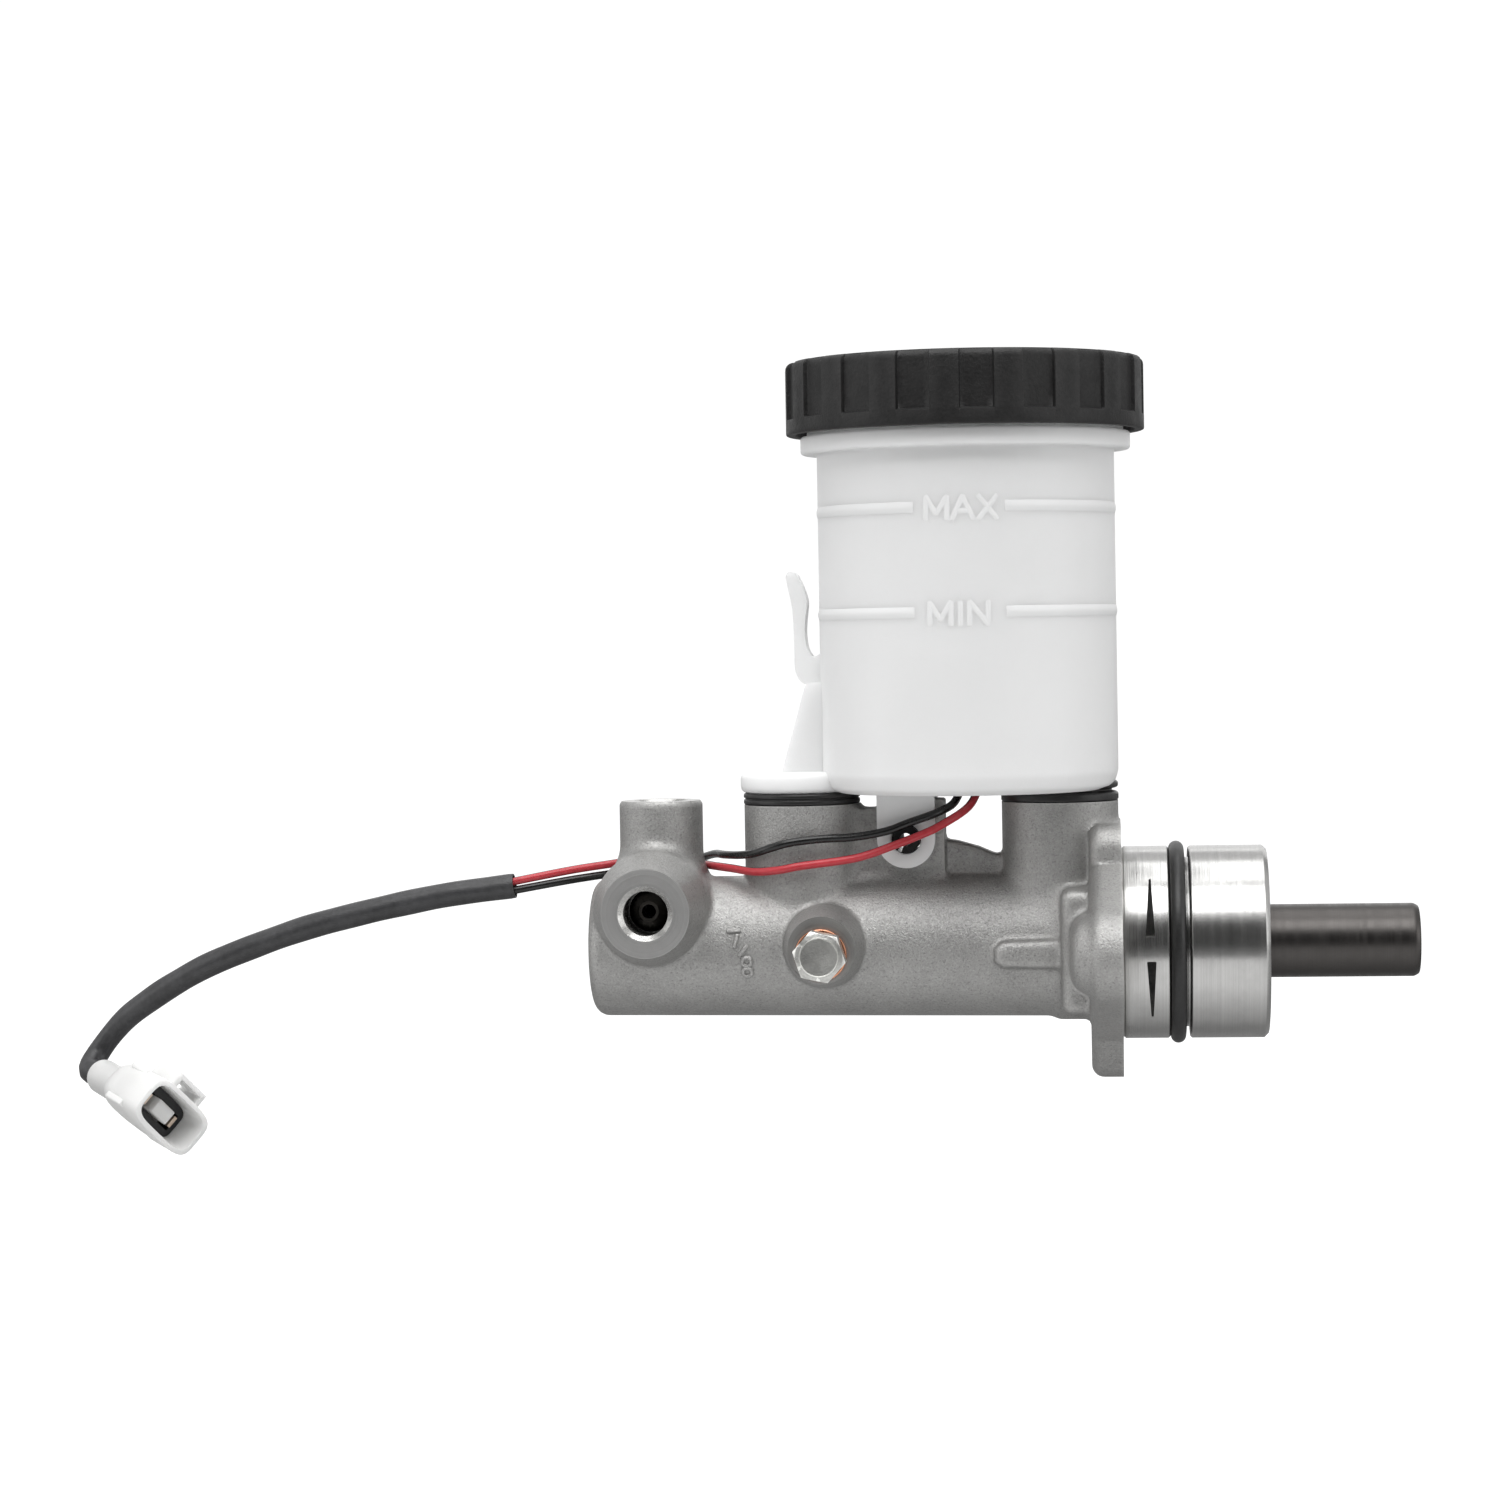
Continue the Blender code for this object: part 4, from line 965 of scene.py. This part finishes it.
def grommet_rings(look):
    """Rubber grommets with two lips and a groove between, squeezed under the nipples."""
    plug_line = [(6.4, 18.8), (8.95, 18.8), (8.95, 30.25), (12.1, 30.25), (12.4, 30.5)]
    front = [
        (12.4, 31.25), (12.1, 31.4), (12.1, 31.6), (12.4, 31.75), (12.4, 32.45), (12, 32.75),
        (6.4, 32.75),
    ]
    rear = [
        (12.4, 31.7), (12, 32.1), (11, 32.3), (11, 32.7), (11.9, 32.9), (12.3, 33.2), (12.3, 34),
        (11.9, 34.4), (6.4, 34.4),
    ]
    for name, x, lips in (("front", FRONT_INLET_X, front), ("rear", REAR_INLET_X, rear)):
        section = softened(plug_line + lips, 0.25, True, 3)
        ring = lathe(f"{name}_grommet_ring", section, place(x, 0, 0), closed=True)
        stand_for(ring, look, 40, "casting", "black_rubber", name + "_grommet")


def roll_pin(look):
    """Slotted spring pin, its slot turned away from the near end's top."""
    section = arc(LUG_X, LUG_Z, 2.95, 250, 592, 60) + arc(LUG_X, LUG_Z, 1.35, 592, 250, 60)
    piece = side_prism("roll_pin", section, -9.4, 9.4)
    stand_for(piece, look, 40, "casting", "blackened_steel", "reservoir_pin")


def push_rod(look):
    profile = softened([
        (0, -9), (2.2, -9), (2.2, -19.2), (5, -19.2), (5, -14), (10.9, -14), (10.9, -10.5),
        (6.5, -10.5), (6.5, 14), (10.9, 14), (10.9, 15.4), (8.2, 15.4), (8.2, 18.6), (10.9, 18.6),
        (10.9, 20.4), (7.7, 20.4), (7.7, 60.9), (7.1, 62), (4.5, 62), (4.2, 61.6), (4.2, 53),
        (0, 51),
    ], 0.35, steps=3)
    piece = lathe("push_rod", profile, place(0, 0, 0, ALONG_X), 128)
    stand_for(piece, look, 30, "primary", "dark_rod_steel", "primary_piston")


def coil_spring(name, low, high, turns):
    """A wire spring with closed ends, along X, as one tube."""
    total = int(turns * 40)
    ends = 1 / turns
    close = 2.15 * SPRING_WIRE_R
    points = []
    for k in range(total + 1):
        t = k / total
        angle = 2 * math.pi * turns * t
        travel = (high - low - 2 * close) * min(max((t - ends) / (1 - 2 * ends), 0), 1)
        x = low + close * min(t / ends, 1) + travel + close * max((t - 1 + ends) / ends, 0)
        points.append(Vector((x, SPRING_R * math.cos(angle), SPRING_R * math.sin(angle))))
    return skin(name, points, lambda k, a: SPRING_WIRE_R, 14)


def coil_springs(look):
    """Both return springs: each rides on what its front end rests on."""
    for name, body, low, high, turns, anchor, keep in (
        ("primary", "secondary", -40.8, -18.5, 5, -0.0419, 0.571),
        ("secondary", "casting", -102, -74.8, 6, -0.1031, 0.643),
    ):
        piece = coil_spring("coil_" + name, low, high, turns)
        stand_for(piece, look, 50, body, "spring_steel", name + "_spring")
        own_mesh(piece)


# ---- reservoir


def tank_parts():
    """Plate, duct, hook and fixing tabs joined to the tank's outside."""
    plate = softened([(0, 32.8), (12.6, 32.8), (12.6, 37.2), (0, 37.2)], 1.5, steps=5)
    found = [lathe("nipple_plate", plate, place(-67.9, 0, 0), 96)]
    duct = [(-71.5, 36), (-58, 36), (-58, 56), (-65.8, 56)]
    found.append(side_prism("duct_outer", softened(duct, 1.2, True), -6.3, 6.3))
    hook_line = [
        (-69.3, 79.7), (-70, 78.7), (-68.6, 71.8), (-68.4, 67.1), (-68.3, 58.6), (-67.3, 56.3),
        (-65.4, 55.4), (-62.2, 55.4), (-62.2, 62.6), (-63.6, 61.7), (-64.6, 61.4), (-65.7, 63.3),
        (-66.1, 66.5), (-65.9, 69.4), (-65.4, 73.1), (-66.2, 76), (-67.8, 79.3),
    ]
    found.append(side_prism("hook", softened(hook_line, 1.4, True), -3.5, 3.5))
    tab_line = [(-51.1, 34.4), (-51.1, LUG_Z)] + arc(LUG_X, LUG_Z, 6.1, 180, 360, 36)[1:-1]
    tab_line += [(-38.9, LUG_Z), (-38.9, 34.4)]
    found.append(side_prism("near_tab", tab_line, 5.5, 8.3))
    found.append(side_prism("far_tab", tab_line, -8.3, -5.5))
    return found


def thread_rings(radius, crest, first_z):
    """Profile points of the neck's or the cap's thread rings, from the first one upwards."""
    found = []
    for k in range(NECK_THREADS):
        z = first_z + NECK_PITCH * k
        found += [(radius, z - 0.7), (crest, z - 0.2), (crest, z + 0.2), (radius, z + 0.7)]
    return found


def tank(look):
    """The reservoir, with its duct, divider, float post, nipples and neck threads."""
    outside = softened([
        (0, 32.6), (27.8, 32.6), (30.4, 33.6), (TANK_R, 36.4), (TANK_R, 104.2), (34.8, 104.2),
        (34.8, 107.9), (NECK_R, 107.9),
    ], 0.7)
    floor_line = [(TANK_INNER_R, 37.6), (26.8, 35), (0, 35)]
    inside = softened([(NECK_R, 119), (TANK_INNER_R, 119)] + floor_line, 1)
    profile = outside + thread_rings(NECK_R, 34.6, 110.2) + inside
    at = place(TANK_X, 0, 0)
    piece = lathe("reservoir_tank", profile, at, 144)
    duct = [(-69.9, 35.4), (-60, 35.4), (-60, 53.6), (-64.6, 53.6)]
    cavity = softened(floor_line[::-1] + [(TANK_INNER_R, 125), (0, 125)], 1)
    post = softened([(0, 34), (5.2, 34), (5.2, 66), (0, 66)], 0.6)
    steps = join(*tank_parts())
    steps += cut(side_prism("duct_inner", duct, -4.3, 4.3), lathe("tank_cavity", cavity, at, 144))
    steps += join(box("divider", (-50.2, -24.5, 34), (-48.4, 24.5, 60), edge=0.4))
    steps += join(lathe("float_post", post, at, 64))
    for k, x in enumerate((FRONT_INLET_X, REAR_INLET_X)):
        steps += join(rod(f"nipple_{k}", 6.3, 21.6, 34, place(x, 0, 0)))
        steps += cut(rod(f"nipple_bore_{k}", 4, 18, 36 + 4 * k, place(x, 0, 0), 48))
    steps += cut(rod("switch_bore", 3.8, 28, 63.5, at, 48))
    steps += cut(rod("tab_hole", PIN_HOLE_R, -12, 12, place(LUG_X, 0, LUG_Z, ALONG_NEAR), 48))
    stand_for(carve(piece, steps), look, 30, "casting", "white_polypropylene", "reservoir")


LETTERS = {
    "M": [[(0, 0), (0, 1), (0.5, 0.25), (1, 1), (1, 0)]],
    "A": [[(0, 0), (0.5, 1), (1, 0)], [(0.2, 0.36), (0.8, 0.36)]],
    "X": [[(0, 0), (1, 1)], [(0, 1), (1, 0)]],
    "I": [[(0, 0), (0, 1)]],
    "N": [[(0, 0), (0, 1), (1, 0), (1, 1)]],
}
LETTER_WIDTHS = {"M": 4.4, "A": 4.4, "X": 3.9, "I": 0, "N": 3.8}


def on_tank(u, z, rise):
    """Point of the tank's near side: u mm round it from the nearest line, rise above the wall."""
    a = u / TANK_R
    return Vector((TANK_X + (TANK_R + rise) * math.sin(a), -(TANK_R + rise) * math.cos(a), z)) * MM


def raised_stroke(bm, a, b, width, rise, ends=0.45):
    """A low raised bar with sloping sides, wrapped on the tank from a to b, given as (u, z)."""
    a, b = Vector(a), Vector(b)
    ahead = (b - a).normalized()
    side = Vector((-ahead.y, ahead.x)) * width / 2
    a, b = a - ahead * ends, b + ahead * ends
    count = max(2, int((b - a).length / 0.9))
    section = ((1, -0.25), (1, 0.01), (0.3, rise), (-0.3, rise), (-1, 0.01), (-1, -0.25))
    rows = []
    for k in range(count + 1):
        spot = a.lerp(b, k / count)
        row = []
        for share, height in section:
            p = spot + side * share
            low = height if 0 < k < count else min(height, 0.02)
            row.append(bm.verts.new(on_tank(p.x, p.y, low)))
        rows.append(row)
    bridge(bm, rows)
    bm.faces.new(rows[0][::-1])
    bm.faces.new(rows[-1])


def level_marks(look):
    """Raised bars round the tank at the two fluid levels, with the plain words MAX and MIN."""
    for word, z, gap, middle in (("MAX", 91.8, 1, 0.2), ("MIN", 70.3, 1.9, -0.6)):
        bm = bmesh.new()
        u = middle - (sum(LETTER_WIDTHS[c] for c in word) + gap * (len(word) - 1)) / 2
        for letter in word:
            for line in LETTERS[letter]:
                spots = [(u + a * LETTER_WIDTHS[letter], z - 2.7 + b * LETTER_HEIGHT) for a, b in line]
                for first, last in zip(spots, spots[1:]):
                    raised_stroke(bm, first, last, 1.1, 0.07, 0.2)
            u += LETTER_WIDTHS[letter] + gap
        marks = [from_bmesh("level_word_" + word.lower(), bm)]
        for name, first, last in (("left", -53, -10.3), ("right", 9.6, 53)):
            bm = bmesh.new()
            raised_stroke(bm, (first, z), (last, z), 2.3, 0.24)
            marks.append(from_bmesh(f"level_bar_{word.lower()}_{name}", bm))
        for piece in marks:
            stand_for(piece, look, 40, "casting", "white_polypropylene")


def cap_radius(angle, depth):
    """Outside radius of the cap at an angle, with the flat recessed panels pressed in by depth."""
    panel = 2 * math.pi / CAP_PANELS
    off = (angle - math.radians(CAP_PANEL_PHASE) + panel / 2) % panel - panel / 2
    across = abs(CAP_R * math.sin(off))
    flat = min(CAP_R, (CAP_R - 1) / math.cos(off))
    share = min(max((3.62 - across) / 0.3, 0), 1)
    share = share * share * (3 - 2 * share)
    return CAP_R + (flat - CAP_R) * share * depth


def cap_angles():
    """Angles of the cap's vertices: dense at the panels' edges, sparse between."""
    panel = 2 * math.pi / CAP_PANELS
    edge = 3.45 / CAP_R
    half = [-edge + step / CAP_R for step in (-0.16, -0.08, 0, 0.08, 0.17)]
    half += [-edge * 0.6, -edge * 0.2]
    offsets = half + [-o for o in half[::-1]] + [panel / 2 - 0.03, panel / 2, panel / 2 + 0.03]
    middles = [math.radians(CAP_PANEL_PHASE) + k * panel for k in range(CAP_PANELS)]
    return [middle + o for middle in middles for o in offsets]


def screw_cap(look):
    """Cap as one closed skin: recessed panels, rounded rims, hollow underside.

    A row is (radius, z), or (radius from the rim, z, how deep the panels are pressed in).
    """
    low, top = CAP_BOTTOM_Z, CAP_TOP_Z
    rows = [
        (0, top - 0.7), (24, top - 0.7), (33, top - 0.7), (33.5, top - 0.6), (34, top - 0.1),
        (34.5, top), (36, top), (-1.35, top - 0.02, 0.6), (-0.75, top - 0.22, 0.9),
        (-0.3, top - 0.6, 1), (-0.06, top - 1.1, 1), (0, top - 1.7, 1), (0, top - 5, 1),
        (0, low + 6, 1), (0, low + 3.45, 1), (0, low + 3.3, 0.85), (0, low + 3.12, 0.15),
        (0, low + 3, 0), (0, low + 1.2, 0), (0, low + 0.35, 0), (-0.1, low + 0.12, 0),
        (-0.35, low, 0), (36.2, low), (35.9, low + 0.1), (35.75, low + 0.4), (CAP_INNER_R, low + 3),
    ]
    rows += thread_rings(CAP_INNER_R, 34.9, low + 4)
    rows += [(CAP_INNER_R, 121.5), (35.3, 121.9), (20, 121.9), (0, 121.9)]
    angles = cap_angles()
    bm = bmesh.new()
    loops = []
    for radius, z, *depth in rows:
        around = angles if radius or depth else angles[:1]
        loop = []
        for a in around:
            r = cap_radius(a, *depth) + radius if depth else radius
            loop.append(bm.verts.new(Vector((TANK_X + r * math.sin(a), -r * math.cos(a), z)) * MM))
        loops.append(loop)
    for first, second in zip(loops, loops[1:]):
        for j in range(len(angles)):
            n = (j + 1) % len(angles)
            places = ((first, j), (first, n), (second, n), (second, j))
            corners = [loop[k % len(loop)] for loop, k in places]
            bm.faces.new(list(dict.fromkeys(corners)))
    stand_for(from_bmesh("screw_cap", bm), look, 38, "cap", "black_cap_plastic", "reservoir_cap")


# ---- materials of the CAD nodes that stay


def dress(look, *names):
    for name in names:
        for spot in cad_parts[name].material_slots:
            spot.material = look


def dress_nodes():
    for name, dark, light, metallic, rough, grain, depth, nodes in (
        ("cup_rubber", (0.008, 0.008, 0.009), grey(0.03), 0, (0.4, 0.6), 2600, 0.00005,
         ("primary_front_cup", "secondary_front_cup", "primary_rear_cup", "secondary_rear_cup")),
        ("fitting_steel", (0.26, 0.26, 0.255), (0.42, 0.42, 0.41), 1, (0.25, 0.42), 2200, 0.00003,
         ("primary_spring_washer", "secondary_spring_washer", "spring_retainer", "retainer_screw")),
        ("snap_ring", (0.05, 0.05, 0.052), grey(0.12), 1, (0.3, 0.45), 1800, 0.00004,
         ("snap_ring",)),
        ("float", (0.62, 0.55, 0.38), (0.76, 0.7, 0.52), 0, (0.6, 0.8), 1600, 0.0002, ("level_float",)),
        ("magnet", (0.04, 0.04, 0.042), grey(0.09), 0.5, (0.4, 0.6), 2000, 0.00005,
         ("float_magnet",)),
        ("clip", (0.6, 0.6, 0.58), (0.75, 0.75, 0.72), 0, (0.4, 0.55), 1500, 0.00003, ("float_clip",)),
        ("epoxy", (0.015, 0.015, 0.016), (0.04, 0.04, 0.042), 0, (0.25, 0.5), 900, 0.00006,
         ("reed_switch",)),
        ("seal", grey(0.012), grey(0.035), 0, (0.5, 0.7), 2400, 0.00005,
         ("cap_seal",)),
        ("terminal", (0.5, 0.4, 0.32), (0.66, 0.56, 0.47), 1, (0.24, 0.4), 1500, 0.00002,
         ("terminal_left", "terminal_right")),
    ):
        dress(grained(name, dark, light, metallic, rough, grain, depth), *nodes)
    # The tube seats' near-black tint is painted shade, for the dark bottom of the deep ports.
    seat_painted_shade, dull, middle = (0.085, 0.08, 0.072), (0.3, 0.45), (0, 0, 0)
    near_at = (NEAR_PORT_X, 0, NEAR_PORT_Z)
    dress(turned_metal("seat", 1, near_at, seat_painted_shade, dull), "tube_seat_near", "tube_seat_far")
    dress(turned_metal("top_seat", 2, (OUTLET_X, 0, 0), seat_painted_shade, dull), "tube_seat_top")
    dress(turned_metal("piston", 0, middle, (0.55, 0.55, 0.53), (0.22, 0.36)), "secondary_piston")
    dress(turned_metal("guide", 0, middle, (0.3, 0.3, 0.29), dull), "piston_stop_ring")


# ---- studio


def paper_floor():
    """Pale paper that glows to white towards the camera and gives soft light from below."""
    look, tree, shader = new_material("floor_paper")
    where = place_on(tree)
    tone = spread(tree, noise(tree, where, 3, 3), 0, 1)
    colour = blended(tree, tone, grey(0.16), grey(0.18))
    plug(tree, shader, Base_Color=colour, Roughness=0.9, Specular_IOR_Level=0.1)
    along = node(tree, "SeparateXYZ", {0: where}).outputs[1]
    near = spread(tree, along, 0.8, 0.08, -0.1, 0.04)
    lit = maths(tree, "MULTIPLY", near, spread(tree, along, 0, 1, -0.42, -0.36))
    seen = node(tree, "LightPath").outputs["Is Camera Ray"]
    glow = node(tree, "Mix", {"Factor": seen, "A": lit, "B": 1}, data_type="FLOAT")
    plug(tree, shader, Emission_Color=(1, 1, 1), Emission_Strength=glow.outputs[0])
    bm = bmesh.new()
    bmesh.ops.create_grid(bm, x_segments=8, y_segments=8, size=3)
    paint(from_bmesh("floor", bm, Matrix.Translation((0, 0, FLOOR_Z))), look)


def studio():
    """A world that is white to the camera and lights from its walls and ceiling, and five softboxes."""
    world = bpy.data.worlds.new("studio")
    SCENE.world = world
    world.use_nodes = True
    tree = world.node_tree
    tree.nodes.clear()
    split = node(tree, "SeparateXYZ", {0: node(tree, "TexCoord").outputs["Generated"]})
    ramp = node(tree, "ValToRGB", {0: split.outputs[2]})
    ramp.color_ramp.interpolation = "EASE"
    stops = ramp.color_ramp.elements
    stops[0].position, stops[0].color = 0, (0.07, 0.07, 0.07, 1)
    stops[1].position, stops[1].color = 1, (0.9, 0.9, 0.9, 1)
    for spot, level in ((0.42, 0.08), (0.6, 0.75)):
        stops.new(spot).color = (level, level, level, 1)
    walls = spread(tree, maths(tree, "ABSOLUTE", split.outputs[0]), 0, 0.75, 0.4, 0.75)
    level = maths(tree, "MAXIMUM", ramp.outputs[0], walls)
    soft = node(tree, "Background", {"Color": level, "Strength": 1})
    white = node(tree, "Background", {"Color": (1, 1, 1), "Strength": 1.05})
    seen = node(tree, "LightPath").outputs["Is Camera Ray"]
    mixed = node(tree, "MixShader", {0: seen, 1: soft.outputs[0], 2: white.outputs[0]})
    node(tree, "OutputWorld", {"Surface": mixed.outputs[0]})
    for name, spot, size, power in (
        ("front", (-0.05, -0.5, 0.75), (0.9, 0.5), 5.4),
        ("top", (-0.08, 0.1, 0.95), (0.9, 0.6), 3.2),
        ("left", (-0.95, -0.35, 0.25), (0.5, 0.6), 1.2),
        ("right", (0.85, -0.35, 0.25), (0.5, 0.6), 1.1),
        ("back", (-0.05, 0.9, 0.35), (1.2, 0.6), 2.2),
    ):
        data = bpy.data.lights.new("softbox_" + name, "AREA")
        data.shape = "RECTANGLE"
        data.size, data.size_y = size
        data.energy = power
        lamp = linked("softbox_" + name, data)
        lamp.location = spot
        aim = Vector((-0.06, 0, 0.03)) - Vector(spot)
        lamp.rotation_euler = aim.to_track_quat("-Z", "Y").to_euler()
    SCENE.view_settings.view_transform = "Standard"


# ---- the whole scene


def lead():
    nylon = milky_plastic("nylon", (0.78, 0.78, 0.77), (0.72, 0.72, 0.71))
    light = (0.022, 0.022, 0.023)
    insert = grained("insert", (0.01, 0.01, 0.011), light, 0, (0.35, 0.5), 1800, 0.00004)
    shell, seal = connector_shell(nylon), connector_floor(insert)
    red = grained("red_wire", (0.42, 0.025, 0.035), (0.55, 0.045, 0.06), 0, (0.28, 0.4), 1400, 0.00003)
    black = grained("black_wire", grey(0.003), grey(0.01), 0, (0.2, 0.32), 1400, 0.00002)
    wires({"red": (red, black, 0.6), "black": (black, black, 0)})
    vinyl = grained("sleeve", (0.02, 0.02, 0.021), (0.046, 0.046, 0.049), 0, (0.36, 0.5), 1100, 0.00006)
    sleeve(vinyl)


def machined_body():
    """The casting with its machined faces, and the spigot."""
    cast = cast_metal()
    near_at, middle = (NEAR_PORT_X, 0, NEAR_PORT_Z), (0, 0, 0)
    facing = (
        turned_metal("port_face", 1, near_at, (0.53, 0.527, 0.52), (0.36, 0.48)),
        turned_metal("far_face", 1, (FAR_PORT_X, 0, 0), (0.44, 0.437, 0.43), (0.34, 0.46)),
        turned_metal("bolt_face", 1, (BOLT_X, 0, 0), (0.4, 0.397, 0.39), (0.34, 0.46)),
        grained("tower_face", (0.4, 0.4, 0.39), (0.55, 0.55, 0.54), 1, (0.3, 0.42), 1800, 0.00004),
        turned_metal("outlet_face", 2, (OUTLET_X, 0, 0), (0.6, 0.6, 0.585), (0.28, 0.4)),
        turned_metal("flange_face", 0, middle, (0.55, 0.545, 0.53), (0.3, 0.42)),
    )
    bored = grained("bored", (0.3, 0.297, 0.29), (0.55, 0.545, 0.53), 1, (0.2, 0.34), 2600, 0.00003)
    casting(cast, facing, bored)
    # Pocket walls: rough raw casting, painted darker than the cast look as painted shade of the deep
    # pockets.
    dark = grained("painted_shade_pocket", (0.16, 0.16, 0.155), (0.3, 0.3, 0.29), 0.8, (0.5, 0.7), 2000, 0.0001)
    spigot(turned_metal("spigot", 0, middle, (0.52, 0.517, 0.508), (0.17, 0.24)), dark)
    size_mark(cast)


def build():
    camera()
    lead()
    machined_body()
    rubber = grained("rubber", grey(0.004), grey(0.015), 0, (0.34, 0.48), 2200, 0.00005)
    o_ring(rubber)
    light = (0.6, 0.6, 0.575)
    zinc = grained("zinc", (0.43, 0.43, 0.415), light, 1, (0.26, 0.42), 2600, 0.00005, wear=0.8)
    copper = grained("copper", (0.5, 0.22, 0.13), (0.76, 0.38, 0.24), 1, (0.2, 0.34), 1500, 0.00003)
    bolt(zinc, copper)
    grommet_rings(rubber)
    roll_pin(grained("pin", grey(0.02), grey(0.05), 0.9, (0.35, 0.5), 1500, 0.00004))
    push_rod(turned_metal("rod", 0, (0, 0, 0), (0.085, 0.08, 0.077), (0.3, 0.42), 0.00002))
    coil_springs(grained("coil", grey(0.2), (0.34, 0.34, 0.33), 1, (0.25, 0.4), 1500, 0.00003))
    tank(milky_plastic("tank", (0.86, 0.863, 0.863), (0.82, 0.823, 0.823)))
    level_marks(milky_plastic("level_mark", (0.79, 0.793, 0.793), (0.76, 0.763, 0.763), 0))
    screw_cap(grained(
        "cap", grey(0.003), (0.013, 0.0125, 0.0125), 0, (0.44, 0.58), 1700, 0.00011, wear=0.12,
        Specular_IOR_Level=0.35,
    ))
    dress_nodes()
    paper_floor()
    studio()


build()
